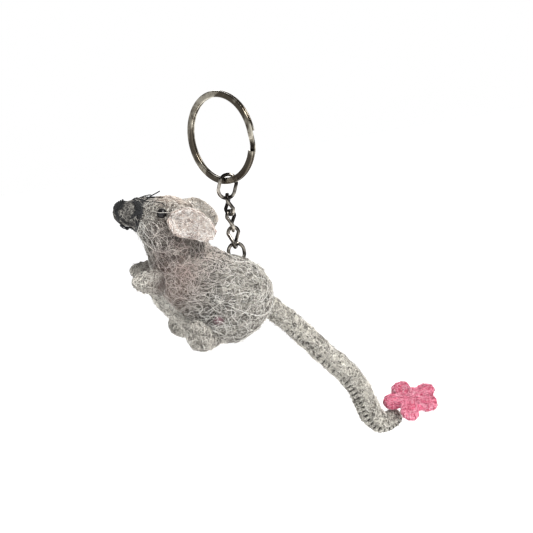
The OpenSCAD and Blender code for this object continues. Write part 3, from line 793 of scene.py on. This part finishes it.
def skin(u, a, lift=0.0):
    """Points of the stuffed body with its bulges, seams and lumps."""
    u, a = np.broadcast_arrays(np.asarray(u, float), np.asarray(a, float))
    plain = body_point(u, a)
    away = unit(body_point(u, a, 1.0) - plain)
    row = along(BODY, u)
    radius = (row[..., 4] + np.hypot(row[..., 0] - row[..., 2], row[..., 1] - row[..., 3]) / 2) / 2
    round_a = np.abs(np.mod(a + 180, 360) - 180)
    to_back = radius * np.radians(round_a)
    to_belly = radius * np.radians(np.abs(round_a - (180 - half_gusset(u))))
    back_pull = 0.30 + 0.16 * np.cos(2 * np.pi * (u - BACK_FROM) / BACK_PITCH)
    belly_pull = 0.26 + 0.16 * np.cos(2 * np.pi * (u - BELLY_FROM) / BELLY_PITCH)
    fade = np.clip((u - 3.2) / 1.2, 0, 1)
    sink = fade * back_pull * np.exp(-((to_back / 1.1) ** 2))
    sink = sink + np.clip((u - 6.4) / 1.0, 0, 1) * belly_pull * np.exp(-((to_belly / 1.1) ** 2))
    slender = np.clip((u - 1.0) / 3.0, 0.15, 1)
    bulge = puff_at(u, a) * np.clip((u - 5.0) / 2.2, 0.08, 1)[..., None]
    lump = rough(plain, 7.0, 0.5, 3.7, 2) * slender
    return plain + bulge + away * (lump - sink + lift)[..., None]


def clustered(count, power=0.55):
    """Shares from 0 to 1 that lie closer together near both ends."""
    t = np.linspace(0, 1, count)
    return power * (0.5 - 0.5 * np.cos(np.pi * t)) + (1 - power) * t


def round_edge(outer, thickness, away):
    """Half thickness at each grid point, rounding off towards the grid's four edges."""
    m, n = outer.shape[:2]
    du = np.linalg.norm(np.diff(outer, axis=0), axis=-1)
    dv = np.linalg.norm(np.diff(outer, axis=1), axis=-1)
    rows = np.concatenate([np.zeros((1, n)), np.cumsum(du, 0)])
    columns = np.concatenate([np.zeros((m, 1)), np.cumsum(dv, 1)], 1)
    edge = np.minimum(np.minimum(rows, rows[-1:] - rows), np.minimum(columns, columns[:, -1:] - columns))
    e = np.clip(edge / away, 0, 1)
    return thickness / 2 * np.sqrt(np.clip(1 - (1 - e) ** 2, 0.002, 1))


def sheet_shell(mid, outward, thickness, away, fuzz, seed):
    """A felt sheet with rounded edges and a fibrous surface, from its middle surface."""
    half = round_edge(mid, thickness, away)
    outer = mid + outward * (half + rough(mid, 0.8, fuzz, seed, 2))[..., None]
    inner = mid - outward * (half + rough(mid, 0.9, fuzz * 0.5, seed + 5))[..., None]
    return outer, inner


# The slot in the back seam for the end link: its middle, half length and half angle.
SLOT_AT, SLOT_LONG, SLOT_WIDE = 9.56, 0.40, 9.0


def panel(side, rows, columns):
    """The middle surface of one side panel."""
    us = BODY_LAST * clustered(rows, 0.25)
    ends = 180 - np.where(us > GUSSET_FROM - 0.4, half_gusset(us), 0)
    first = 0.25 + SLOT_WIDE * np.exp(-(((us - SLOT_AT) / SLOT_LONG) ** 4))
    v = clustered(columns)
    a = side * (first[:, None] + (ends - 0.25 - first)[:, None] * v[None, :])
    return skin(us[:, None], a, -FELT / 2)


def facing(grid, centre):
    """A grid's normals, turned if need be to point away from the centre."""
    outward = normals(grid)
    lean = ((grid - centre) * outward).sum(-1).mean()
    return outward if lean > 0 else -outward


# A point well inside the body.
CENTRE = np.array([-14.0, 0.0, -52.0])


def middle_of(node):
    """The middle of a CAD node's box."""
    low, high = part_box(node)
    return np.array((low + high) / 2) / MM


# Places that fibres keep clear of: eyes, end link and embroidered snout.
CLEAR = (
    (middle_of("left_eye"), 2.0),
    (middle_of("right_eye"), 2.0),
    (middle_of("end_link"), 3.6),
    (np.array([-36.5, 0.0, -31.8]), 5.0),
    (np.array([-33.6, 0.0, -31.8]), 5.4),
)
PANEL_ROWS = 230
PANEL_COLUMNS = 104

for word, side in (("left", 1), ("right", -1)):
    mid = panel(side, PANEL_ROWS, PANEL_COLUMNS)
    outward = facing(mid, CENTRE)
    outer, inner = sheet_shell(mid, outward, FELT, 0.75, 0.07, 11.0 * side)
    shape = plate_mesh(outer, inner) if side > 0 else plate_mesh(inner, outer)
    obj = piece(f"{word}_side_felt", shape, grey_felt, "mouse", "grey_felt", f"{word}_side_panel")
    hair = fibres(outer, outward, 3200, 21 + side, length=(2.0, 7.0), free=0.25, avoid=CLEAR)
    piece(f"{word}_side_hair", hair, body_hair, "mouse", "grey_felt")
    curls = fibres(
        outer, outward, 1250, 24 + side, length=(3.5, 9.0), curl=0.42, lift=(0.1, 0.26),
        radius=(0.05, 0.095), free=0.3, stand=(0.4, 1.5), avoid=CLEAR,
    )
    long = fibres(
        outer, outward, 45, 34 + side, length=(10.0, 18.0), curl=0.16, lift=(0.25, 0.45),
        radius=(0.07, 0.11), free=0.5, stand=(0.5, 2.0), avoid=CLEAR,
    )
    piece(f"{word}_side_curls", merged([curls, long]), curl_hair, "mouse", "grey_felt")

us = GUSSET_FROM - 0.4 + (BODY_LAST - GUSSET_FROM + 0.4) * clustered(120, 0.25)
half = half_gusset(us) - 0.3
a = 180 - half[:, None] + 2 * half[:, None] * clustered(44)[None, :]
mid = skin(us[:, None], a, -FELT / 2)
outward = facing(mid, CENTRE)
outer, inner = sheet_shell(mid, outward, FELT, 0.75, 0.07, 31.0)
obj = piece("belly_felt", plate_mesh(outer, inner), pale_felt, "mouse", "pale_felt", "belly_gusset")
piece("belly_hair", fibres(outer, outward, 1700, 37, free=0.3), grey_hair, "mouse", "pale_felt")

# ---------------------------------------------------------------- ears


def ear_surface(root, dip, flare, side, s, v, out):
    """Points of an ear: s from root to tip, v from its lower edge (-1) to its upper edge (1)."""
    dip, flare = math.radians(dip), math.radians(flare)
    ahead = np.array(
        [math.cos(dip) * math.cos(flare), -math.sin(flare), -math.sin(dip) * math.cos(flare)]
    )
    across = np.array([math.sin(dip), 0, math.cos(dip)])
    face = -np.cross(across, ahead)
    s, v = np.broadcast_arrays(s, v)
    edges = along(EAR_EDGES, 6 * s)
    pinch = np.clip(1 - s / 0.5, 0, 1) ** 1.3
    fold = pinch * np.clip(-v, 0, 1) ** 1.5
    reach = v * np.where(v < 0, edges[..., 0], edges[..., 1])
    cup = EAR_CUP * (1 - v**2) * np.sin(np.pi * np.minimum(1, 0.25 + s))
    rise = 1.2 * fold + 0.5 * pinch * np.clip(v, 0, 1) ** 2 - cup + out
    ripple = 0.35 * np.sin(5 * s + 2.2 * v) * s
    points = (
        np.array(root)
        + (EAR_LEN * s)[..., None] * ahead
        + reach[..., None] * across
        + (rise + ripple)[..., None] * face
    )
    return points * np.array([1, side, 1])


EAR_BACK = 0.9
EAR_LINING = 0.7
EAR_MIDDLE = np.array([-16.0, 0.0, -36.0])
for word, (root, dip, flare, side) in EARS.items():
    s = clustered(72, 0.4)[:, None]
    v = (2 * clustered(56) - 1)[None, :]
    for part, low, thick, material, hair, count, slot in (
        ("back", 0.0, EAR_BACK, ear_felt, ear_hair, 1300, "grey_felt"),
        ("lining", EAR_BACK + 0.05, EAR_LINING, cream_felt, warm_hair, 1700, "cream_felt"),
    ):
        mid = ear_surface(root, dip, flare, side, s, v, low + thick / 2)
        outward = facing(mid, EAR_MIDDLE)
        outer, inner = sheet_shell(mid, outward, thick, thick * 0.6, 0.16, 3.0 + len(part) * side)
        node = f"{word}_ear_{part}"
        obj = piece(f"{node}_felt", plate_mesh(outer, inner), material, "mouse", slot, node)
        shown, away = (outer, outward) if part == "lining" else (inner, -outward)
        strands = fibres(
            shown, away, count, 50 + len(node), length=(2.0, 6.5), radius=(0.055, 0.12),
            free=0.35, stand=(0.3, 1.2), comb=0.6,
        )
        piece(f"{node}_hair", strands, hair, "mouse", slot)

# ---------------------------------------------------------------- paws

# Stitches start at this share of a paw's length and follow at this pitch.
PAW_FROM, PAW_PITCH = 0.56, 0.13
# How far a paw's root lies inside the body.
PAW_SINK = 6.0


def paw_surface(paw, t, a, grow=0.0):
    """Points of a padded paw: t from root to tip, a round it in degrees."""
    root, tip, r_root, r_tip, flat, side = paw
    root, tip = np.array(root), np.array(tip)
    ahead = unit(tip - root)
    up = unit(np.cross([0, -1, 0], ahead))
    wide = np.cross(ahead, up)
    t, a = np.broadcast_arrays(np.asarray(t, float), np.radians(a))
    r = r_root + (r_tip - r_root) * t
    swell = np.sqrt(np.clip(1 - np.clip((t - 0.45) / 0.55, 0, None) ** 2.4, 0.002, 1))
    near_edge = np.exp(-((np.sin(a) * r / 1.2) ** 2))
    scallop = 0.34 * np.cos(2 * np.pi * (t - PAW_FROM) / PAW_PITCH) * np.clip((t - 0.3) / 0.2, 0, 1)
    pull = near_edge * (0.12 + scallop)
    sunk = np.clip(1 - t / 0.66, 0, 1) ** 1.1
    high = swell * (r - pull) * (1 - 0.12 * sunk) + grow
    broad = swell * (r * flat - 0.1 * near_edge) * (1 - 0.3 * sunk) + grow
    points = (
        root
        + (tip - root) * t[..., None]
        + (high * np.cos(a))[..., None] * up
        + (broad * np.sin(a))[..., None] * wide
    )
    points[..., 1] += PAW_SINK * sunk
    return points * np.array([1, side, 1])


paw_threads = []
for k, (name, paw) in enumerate(PAWS.items()):
    side = paw[5]
    rounding = 0.8 + 0.2 * np.sin(np.linspace(0.04, 1, 34) * np.pi / 2)
    t = np.concatenate([np.linspace(0, 0.8, 56), rounding])
    a = np.arange(0, 360, 5.0)
    rings = paw_surface(paw, t[:, None], a[None, :])
    away = unit(paw_surface(paw, t[:, None], a[None, :], 1.0) - rings)
    lumps = rough(rings, 3.0, 0.35, 5.0 + k, 2) + rough(rings, 0.8, 0.07, 9.0 + k)
    rings = rings + away * lumps[..., None]
    points, faces = loft_mesh(rings)
    if side < 0:
        faces = [f[::-1] for f in faces]
    obj = piece(f"{name}_felt", (points, faces), paw_felt, "mouse", "grey_felt", name)
    strands = fibres(rings, away, 900, 70 + k, length=(2.0, 5.0), closed=True, free=0.3)
    piece(f"{name}_hair", strands, paw_hair, "mouse", "grey_felt")
    for edge in (0, 180):
        for step in range(4):
            place = PAW_FROM + PAW_PITCH * step
            if place > 0.97:
                continue
            reach = np.array([-30, -18, 0, 18, 30])
            lifts = np.array([-0.25, 0.1, 0.22, 0.1, -0.25])
            path = paw_surface(paw, place + 0.0006 * reach, edge + reach, lifts)
            paw_threads.append(twisted(path, 0.17))
piece("paw_threads", merged(paw_threads), grey_thread, "mouse", "grey_thread", "paw_stitches")

# ---------------------------------------------------------------- seam stitches

STITCH = 0.21


def laid(us, angles, lifts, radius, **more):
    """A thread laid on the felt through places on the body."""
    path = skin(np.asarray(us, float), np.asarray(angles, float), np.asarray(lifts, float))
    return twisted(path, radius, **more)


over_seam = np.array([-1.0, -0.55, 0.0, 0.55, 1.0])
dive = np.array([-0.35, 0.12, 0.30, 0.12, -0.35])
stitches = []
for k in range(26):
    u = BACK_FROM + k * BACK_PITCH
    if (u < 8.7 or u > 10.35) and u < 12.2:
        wide = 14 - 0.4 * abs(u - 5)
        stitches.append(laid(u + 0.1 * over_seam, wide * over_seam, dive, STITCH))
piece("back_threads", merged(stitches), grey_thread, "mouse", "grey_thread", "back_seam_stitches")

stitches = []
for side in (-1, 1):
    for k in range(12):
        u = BELLY_FROM + k * BELLY_PITCH
        centre = 180 + side * float(half_gusset(u))
        stitches.append(laid(u + 0.12 * over_seam, centre + 7 * over_seam, dive, STITCH))
piece("belly_threads", merged(stitches), pale_thread, "mouse", "grey_thread", "belly_seam_stitches")

# ---------------------------------------------------------------- thread loops over the end link

# The end link's wire and the middle line of its lower crown.
WIRE_R = 0.6
link_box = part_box("end_link")
link_low = np.array(
    [(link_box[0].x + link_box[1].x) / 2, (link_box[0].y + link_box[1].y) / 2, link_box[0].z]
) / MM + np.array([0, 0, WIRE_R])
CROWN_R = 2.5
loops = []
for x in (-0.9, -0.3, 0.3, 0.9):
    rise = CROWN_R - math.sqrt(CROWN_R**2 - x**2)
    r = WIRE_R + 0.24 + STITCH
    c = np.radians(np.arange(-20, 201, 20))
    arc = np.stack([np.full_like(c, x), -r * np.cos(c), rise + r * np.sin(c)], -1)
    ends = [[x, -1.5, -0.5], *arc, [x, 1.5, -0.5]]
    loops.append(twisted(link_low + np.array(ends), STITCH))
piece("anchor_loops", merged(loops), grey_thread, "mouse", "grey_thread", "anchor_thread")

# ---------------------------------------------------------------- face

NOSE_THREAD = 0.25
FACE_THREAD = 0.24


def loose(points, radius=FACE_THREAD, count=16):
    """A thread end that stands free of the felt, through points of the row frame."""
    return twisted(eased(points, count), radius, taper=0.15)


# Satin stitches from the nose tip back, others across them, and a few under the tip.
strands = []
for k in range(19):
    a = -72 + 6.5 * k
    near = 0.40 + 0.05 * math.sin(2.3 * k)
    far = 1.85 - 0.55 * (abs(a + 12) / 70) ** 2 + 0.14 * math.sin(3.1 * k)
    us = np.linspace(near, far, 6)
    lifts = np.array([-0.1, 0.4, 0.55, 0.5, 0.35, -0.15]) + 0.08 * math.sin(5.0 * k)
    strands.append(laid(us, a + 5 * np.sin(2 * us + k), lifts, NOSE_THREAD))
for k in range(8):
    a = np.linspace(-66 + 5 * k, 52 - 3 * k, 7)
    lift = 0.35 + 0.05 * k
    lifts = [0.1, lift, lift + 0.1, lift + 0.15, lift + 0.1, lift, 0.1]
    strands.append(laid(np.full(7, 0.42 + 0.17 * k), a, lifts, NOSE_THREAD))
for k in range(5):
    a = np.linspace(18 + 3 * k, 128 + 6 * k, 8)
    us = 0.42 + 0.07 * k + 0.05 * np.sin(a / 17 + k)
    strands.append(laid(us, a, 0.30 + 0.06 * np.sin(a / 9 + 2 * k), NOSE_THREAD))
    strands.append(laid(us, -0.8 * a, np.full(8, 0.26), NOSE_THREAD))
piece("nose_embroidery", merged(strands), black_thread, "mouse", "black_thread", "nose_stitches")

# Threads down the front of the muzzle, loops that hang from them, and a knot with cut ends.
FINE = 0.7 * FACE_THREAD
strands = []
for k in range(5):
    us = np.linspace(0.5 + 0.05 * k, 2.45 - 0.1 * k, 11)
    a = 128 + 42 * np.clip((us - 0.5) / 0.7, 0, 1) + 5 * k * np.clip(us - 0.6, 0, 1)
    lifts = 0.24 + 0.26 * np.abs(np.sin(2.6 * us + 0.8 * k))
    strands.append(laid(us, a + 4 * np.sin(2.2 * us + k), lifts, FACE_THREAD))
for k in range(2):
    us = np.linspace(0.55, 2.1, 9)
    a = 78 + 66 * np.clip((us - 0.55) / 0.9, 0, 1) ** 0.8 - 12 * k
    strands.append(laid(us, a, np.full(9, 0.16), FINE))
for k in range(3):
    c = np.linspace(0, 2 * np.pi * 1.15, 14)
    us = 0.8 + 0.28 * k + 0.17 * np.sin(c)
    lifts = 0.5 + 0.42 * (1 - np.cos(c)) * (0.9 - 0.15 * k)
    strands.append(laid(us, 168 + 9 * np.cos(c + k), lifts, FINE))
knot = np.array([-34.3, -0.6, -36.3])
strands.append(loose([[-36.2, -1.2, -33.6], [-35.6, -1.3, -34.8], [-34.9, -0.9, -35.7], knot]))
strands.append(loose([[-35.4, 0.2, -34.6], [-35.1, 0.1, -35.4], [-34.7, -0.2, -36.0], knot]))
c = np.linspace(0, 2 * np.pi * 2.3, 30)
ball = np.stack([0.36 * np.cos(c), 0.36 * np.sin(1.37 * c), 0.36 * np.sin(c)], -1)
strands.append(twisted(knot + ball, FACE_THREAD))
for x, z, drop in ((-33.2, -36.0, 0.9), (-32.6, -36.6, 0.9), (-33.7, -35.8, 0.6)):
    hanging = [[x, -0.6, z], [x + 0.25, -0.8, z - 0.5 * drop], [x + 0.2, -0.9, z - drop]]
    strands.append(loose(hanging, FINE, 7))
piece("mouth_threads", merged(strands), black_thread, "mouse", "black_thread", "mouth_thread")

# One thread wound round the snout, then stitches slanting over it on each side.
WRAP_TURNS = 11
WRAP_STEP = 20.0
turns = np.arange(0, int(360 / WRAP_STEP) * WRAP_TURNS + 1)
tilt = np.cos(np.radians(WRAP_STEP * turns))
spread = 0.9 * np.sin(turns * 0.197) + 0.1 * np.sin(turns * 1.3)
us = 2.66 + 0.18 * tilt + spread * (0.24 + 0.14 * tilt)
lifts = 0.26 + 0.14 * np.sin(turns * 0.83)
winding = [laid(us, turns * WRAP_STEP, lifts, FACE_THREAD, taper=0.1)]
for side in (1, -1):
    for k in range(11):
        us = np.linspace(1.72 + 0.06 * k, 2.95 + 0.02 * k, 7)
        a = np.linspace(112 - 3.5 * k, 62 + 1.5 * k, 7) + 3 * np.sin(3 * us + k)
        lifts = [-0.1, 0.3, 0.5, 0.62, 0.6, 0.4, -0.1]
        winding.append(laid(us, side * a, lifts, FACE_THREAD * 1.1))
    for k in range(5):
        us = np.linspace(2.28 + 0.1 * k, 2.78 + 0.06 * k, 6)
        a = side * np.linspace(22 - 3 * k, 84 + 3 * k, 6)
        winding.append(laid(us, a, [-0.1, 0.5, 0.6, 0.6, 0.5, 0.0], FACE_THREAD))
piece("snout_winding", merged(winding), black_thread, "mouse", "black_thread", "snout_wrap")

# Ends laid on the head: places along it, angles, heights over the felt, and share of full thread.
LAID_ENDS = (
    ([2.9, 3.2, 3.6, 4.0, 4.3, 4.42], [6, 4, 5, 9, 15, 22], [0.3, 0.45, 0.45, 0.35, 0.25, 0.0], 1),
    ([2.9, 3.2, 3.6, 4.0, 4.3], [14, 13, 13, 14, 18], [0.3, 0.3, 0.3, 0.25, 0.05], 0.7),
    ([2.9, 3.3, 3.7, 4.1, 4.4, 4.52], [40, 35, 35, 38, 43, 50], [0.3, 0.3, 0.28, 0.25, 0.2, 0.0], 1),
    ([2.9, 3.3, 3.8, 4.3], [28, 24, 26, 32], [0.3, 0.24, 0.2, 0.0], 0.6),
    ([2.9, 3.3, 3.7, 4.1, 4.4], [-40, -35, -35, -38, -44], [0.3, 0.3, 0.28, 0.25, 0.0], 1),
)
# Ends that stand free: points in the row frame, and share of full thread.
FREE_ENDS = (
    ([[-30.6, -5.2, -31.6], [-29.4, -4.6, -29.8], [-27.9, -3.6, -28.5], [-25.9, -3.2, -27.4],
      [-24.0, -3.4, -26.7], [-22.5, -3.5, -26.16]], 1),
    ([[-30.2, -4.4, -30.4], [-28.9, -3.8, -29.0], [-27.2, -3.4, -28.0], [-25.8, -3.3, -27.6],
      [-24.9, -3.2, -27.75]], 1),
    ([[-31.6, 0.6, -28.3], [-31.1, 0.2, -27.6], [-30.1, 0.0, -27.35], [-28.9, -0.4, -27.5],
      [-27.7, -0.8, -27.9]], 0.6),
    ([[-30.8, 1.6, -28.7], [-28.8, 3.4, -27.9], [-26.6, 4.6, -27.5], [-24.4, 6.2, -27.6]], 1),
)
ends = [laid(us, angles, lifts, share * FACE_THREAD) for us, angles, lifts, share in LAID_ENDS]
ends += [loose(points, share * FACE_THREAD) for points, share in FREE_ENDS]
piece("whisker_ends", merged(ends), black_thread, "mouse", "black_thread", "whisker_threads")

# ---------------------------------------------------------------- tail

TAIL_PITCH = 2.0
# Length of tail between two rows of its table, about.
TAIL_ROW = 7.2
# The whip stitches' two rows of holes: angle round the tail, depth, and lag as a share of the pitch.
HOLES = ((122, 0.9, 0.0), (166, 0.8, 0.18))


def tail_surface(u, a, grow=0.0):
    """Points of the tail: u along it, a round it from its upper edge (0) by its left (90)."""
    u, a = np.broadcast_arrays(np.asarray(u, float), np.radians(a))
    row = along(TAIL, u)
    ahead = along(TAIL, np.minimum(u + 0.05, TAIL_LAST))
    behind = along(TAIL, np.maximum(u - 0.05, 0))
    way = unit(ahead[..., :3] - behind[..., :3])
    side = unit(np.cross(way, [0, 1, 0]))
    flat = np.cross(side, way)
    radius = row[..., 3] + grow
    start = np.linalg.norm(row[..., :3] - TAIL[0, :3], axis=-1)
    end = np.linalg.norm(row[..., :3] - TAIL[-1, :3], axis=-1)
    cap = np.minimum(
        np.sqrt(np.clip(1 - np.clip(1 - (start + 2.4) / radius, 0, 1) ** 2, 0.01, 1)),
        np.sqrt(np.clip(1 - np.clip(1 - end / radius, 0, 1) ** 2, 0.01, 1)),
    )
    out = np.cos(a)[..., None] * side - np.sin(a)[..., None] * flat
    return row[..., :3] + (radius * cap)[..., None] * out, out


def tail_sink(u, a):
    """How deep the whip stitches pull the felt in: two rows of dimples along the lower edge."""
    wave = np.mod(u * TAIL_ROW / TAIL_PITCH, 1.0)
    gap = np.minimum(wave, 1 - wave) * TAIL_PITCH
    tight = 0.55 + 0.45 * np.clip((u - 4.0) / 2.0, 0, 1)
    sink = 0
    for row_a, depth, lag in HOLES:
        lag_gap = np.abs(np.mod(wave - lag + 0.5, 1.0) - 0.5) * TAIL_PITCH
        arc = 3.5 * np.radians(np.abs(a - row_a))
        sink = sink + depth * np.exp(-((lag_gap / 0.46) ** 2) - (arc / 0.7) ** 2)
    arc = 3.5 * np.radians(np.abs(a - 144))
    sink = sink + 0.3 * np.exp(-((gap / 0.35) ** 2) - (arc / 1.2) ** 2)
    return tight * sink - 0.12 * np.exp(-((arc / 0.8) ** 2))


tip = TAIL_LAST - 0.4 + 0.4 * np.sin(np.linspace(0.05, 1, 18) * np.pi / 2)
us = np.concatenate([np.linspace(0, 0.3, 8)[:-1], np.linspace(0.3, TAIL_LAST - 0.4, 330), tip])
a = np.arange(0, 360, 4.5)
rings, away = tail_surface(us[:, None], a[None, :])
swell = rough(rings, 5.0, 0.35, 2.0, 2) + rough(rings, 0.8, 0.07, 13.0)
rings = rings + away * (swell - tail_sink(us[:, None], a[None, :]))[..., None]
obj = piece("tail_roll", loft_mesh(rings), tail_felt, None, "grey_felt", "tail_felt")
dimples = []
for k in range(int(5.6 * TAIL_ROW / TAIL_PITCH), int((TAIL_LAST - 0.4) * TAIL_ROW / TAIL_PITCH)):
    for row_a, _, lag in HOLES:
        point, out = tail_surface((k + lag) * TAIL_PITCH / TAIL_ROW, row_a)
        dimples.append((point, 0.62))
strands = fibres(rings, away, 3200, 91, length=(1.8, 5.0), closed=True, free=0.25, avoid=dimples)
hair = piece("tail_hair", strands, grey_hair, None, "grey_felt")
root = TAIL[0, :3]
way = unit(TAIL[1, :3] - TAIL[0, :3])
for soft in (obj, hair):
    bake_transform(soft)

stitches = []
share = np.array([0.0, 0.2, 0.5, 0.8, 1.0])
lifts = np.array([-0.75, -0.2, -0.02, -0.2, -0.75])
for k in range(1, int(TAIL_LAST * TAIL_ROW / TAIL_PITCH)):
    u = k * TAIL_PITCH / TAIL_ROW
    if u < 1.0 or u > TAIL_LAST - 0.35:
        continue
    angles = HOLES[0][0] + (HOLES[1][0] - HOLES[0][0]) * share
    places = u + HOLES[1][2] * share * TAIL_PITCH / TAIL_ROW
    path, out = tail_surface(places, angles)
    stitches.append(twisted(path + out * lifts[:, None], 0.18))
piece("tail_threads", merged(stitches), grey_thread, "tail", "grey_thread", "tail_seam_stitches")

# ---------------------------------------------------------------- flower


def petal_reach(theta):
    """How far the flower's outline is from its middle, at angles in radians."""
    reach = np.full_like(theta, FLOWER_MID)
    for at, far in LOBES:
        gap = theta - math.radians(at)
        inside = LOBE_R**2 - (far * np.sin(gap)) ** 2
        edge = far * np.cos(gap) + np.sqrt(np.clip(inside, 0, None))
        reach = np.where((inside > 0) & (np.cos(gap) > 0), np.maximum(reach, edge), reach)
    kernel = np.hanning(9)
    wrapped = np.concatenate([reach[-4:], reach, reach[:4]])
    return np.convolve(wrapped, kernel / kernel.sum(), "valid")


def placed(points):
    """Points from the flower's own frame to the row frame."""
    x, y, z = points[..., 0], points[..., 1], points[..., 2]
    c, s = math.cos(FLOWER_TILT), math.sin(FLOWER_TILT)
    return np.stack([x, y * c - z * s, y * s + z * c], -1) + FLOWER_AT


FLOWER_UP = placed(np.array([0, 0, 1.0])) - placed(np.zeros(3))


def petal_wave(x, y, reach):
    """The hand-cut felt's own waviness."""
    far = np.hypot(x, y) / reach
    theta = np.arctan2(y, x)
    return 0.5 * far**2 * np.sin(2 * theta + 0.6) + 0.35 * far**3 * np.sin(5 * theta + 1.1)


THETA = np.linspace(0, 2 * np.pi, 220, endpoint=False)
REACH = petal_reach(THETA)
PETAL_RINGS = 26
# An edge stitch, from over the felt to under it: reach from its lobe's middle, and height.
EDGE_STITCH = ((1.7, 0.6), (1.9, 1.22), (2.75, 1.0), (3.12, 0.0), (2.75, -1.0), (1.9, -1.22), (1.7, -0.6))


def petal_layer(sign, seed):
    """Closed rings over and under one layer, from its middle out to the edge and back."""
    share = np.sin(np.linspace(0.03, 1, PETAL_RINGS) * np.pi / 2)
    depth = np.clip((1 - share) * 7.0 / 0.6, 0, 1)
    half = PETAL / 2 * np.sqrt(np.clip(1 - (1 - depth) ** 2, 0.0, 1))
    rings = []
    for top in (1, -1):
        order = range(len(share)) if top > 0 else range(len(share) - 2, -1, -1)
        for i in order:
            x = share[i] * REACH * np.cos(THETA)
            y = share[i] * REACH * np.sin(THETA)
            mid = sign * (PETAL / 2 + 0.02) * min(1, 0.55 + depth[i] * 0.45)
            rings.append(np.stack([x, y, petal_wave(x, y, REACH) + mid + top * half[i]], -1))
    rings = placed(np.array(rings))
    return rings + FLOWER_UP * rough(rings, 0.9, 0.2, seed, 2)[..., None]


for word, sign in (("front", 1), ("back", -1)):
    rings = petal_layer(sign, 4.0 * sign)
    obj = piece(f"flower_{word}_felt", loft_mesh(rings), pink_felt, "tail", "pink_felt", f"flower_{word}")
    top = rings[:PETAL_RINGS] if sign > 0 else rings[PETAL_RINGS - 1 :][::-1]
    away = np.broadcast_to(sign * FLOWER_UP, top.shape)
    strands = fibres(top, away, 900, 110 + sign, length=(1.5, 4.5), closed=True, free=0.3)
    piece(f"flower_{word}_hair", strands, pink_hair, "tail", "pink_felt")

stitches = []
for at, far in LOBES:
    c = np.array([far * math.cos(math.radians(at)), far * math.sin(math.radians(at))])
    for k in range(-2, 3):
        turn = math.radians(at + k * 40)
        path = []
        for reach, z in EDGE_STITCH:
            x, y = c[0] + reach * math.cos(turn), c[1] + reach * math.sin(turn)
            edge = float(np.interp(math.atan2(y, x) % (2 * math.pi), THETA, REACH))
            path.append([x, y, z + float(petal_wave(x, y, edge))])
        stitches.append(twisted(placed(np.array(path)), 0.15))
piece("flower_threads", merged(stitches), rose_thread, "tail", "rose_thread", "flower_stitches")

# ---------------------------------------------------------------- hidden filling

wads = []
for low_u, high_u in ((3.2, 6.6), (7.1, 10.2), (10.7, 14.2)):
    t = np.linspace(0, 1, 26)
    u = low_u + (high_u - low_u) * t
    swell = np.sqrt(np.clip(1 - (2 * t - 1) ** 2, 0.02, 1))
    a = np.arange(0, 360, 9.0)
    mid = (body_point(u, 0 * u) + body_point(u, 0 * u + 180)) / 2
    ring = mid[:, None] + 0.42 * swell[:, None, None] * (
        body_point(u[:, None], a[None, :], -FELT) - mid[:, None]
    )
    ring = ring + unit(ring - mid[:, None]) * rough(ring, 1.6, 0.3, 8.0, 2)[..., None]
    wads.append(loft_mesh(ring))
piece("stuffing_wads", merged(wads), wadding, "mouse", "stuffing", "body_stuffing")

us = np.linspace(0.55, TAIL_LAST - 0.4, 160)
a = np.arange(0, 360, 15.0)
core, out = tail_surface(us[:, None], a[None, :], -1.75)
twist = 0.12 * np.cos(3 * np.radians(a)[None, :] + 5 * us[:, None])
piece("tail_cord", loft_mesh(core + out * twist[..., None]), wadding, "tail", "stuffing", "tail_core")

# ---------------------------------------------------------------- light, floor


def area(name, at, target, size, power, colour=(1, 1, 1)):
    """A round soft light that faces a target."""
    light = bpy.data.lights.new(name, "AREA")
    light.shape = "DISK"
    light.size = size
    light.energy = power
    light.color = colour
    obj = bpy.data.objects.new(name, light)
    bpy.context.scene.collection.objects.link(obj)
    obj.location = at
    obj.rotation_mode = "QUATERNION"
    obj.rotation_quaternion = (Vector(target) - Vector(at)).to_track_quat("-Z", "Y")


MIDDLE = (0.0, 0.0, -0.06)
area("key", (0.30, -0.35, 0.42), MIDDLE, 0.30, 6.1, (1.0, 0.99, 0.97))
area("fill", (-0.50, -0.45, 0.05), MIDDLE, 0.45, 0.5, (0.98, 0.99, 1.0))
area("back", (0.15, 0.55, 0.30), MIDDLE, 0.35, 2.0)

world = bpy.data.worlds.new("studio")
bpy.context.scene.world = world
world.use_nodes = True
tree = world.node_tree
way = tree.nodes.new("ShaderNodeTexCoord")
parts = tree.nodes.new("ShaderNodeSeparateXYZ")
ramp = tree.nodes.new("ShaderNodeValToRGB")
tree.links.new(way.outputs["Generated"], parts.inputs[0])
tree.links.new(parts.outputs["Z"], ramp.inputs["Fac"])
tree.links.new(ramp.outputs[0], tree.nodes["Background"].inputs["Color"])
# Heights of the sky's stops and how bright each is.
SKY = ((0.2, 1.0), (0.42, 0.10), (0.9, 0.5))
stops = ramp.color_ramp.elements
stops.new(0.5)
for stop, (place, grey) in zip(stops, SKY):
    stop.position = place
    stop.color = (grey, grey, grey, 1)

FLOOR_DROP = 0.16
low = cad_box[0].z - FLOOR_DROP
floor = bpy.data.objects.new("floor", bpy.data.meshes.new("floor"))
corners = [(-4, -4, low), (4, -4, low), (4, 4, low), (-4, 4, low)]
floor.data.from_pydata(corners, [], [(0, 1, 2, 3)])
bpy.context.scene.collection.objects.link(floor)
paint = Nodes("floor_paint")
pale = paint.span(paint.noise(30, 2), 0.0, 1.0, 0.90, 0.93)
paint.set(Base_Color=pale, Roughness=0.9, Emission_Color=(1, 1, 1, 1), Emission_Strength=0.75)
dress(floor, paint.material)

bpy.context.scene.view_settings.view_transform = "Standard"
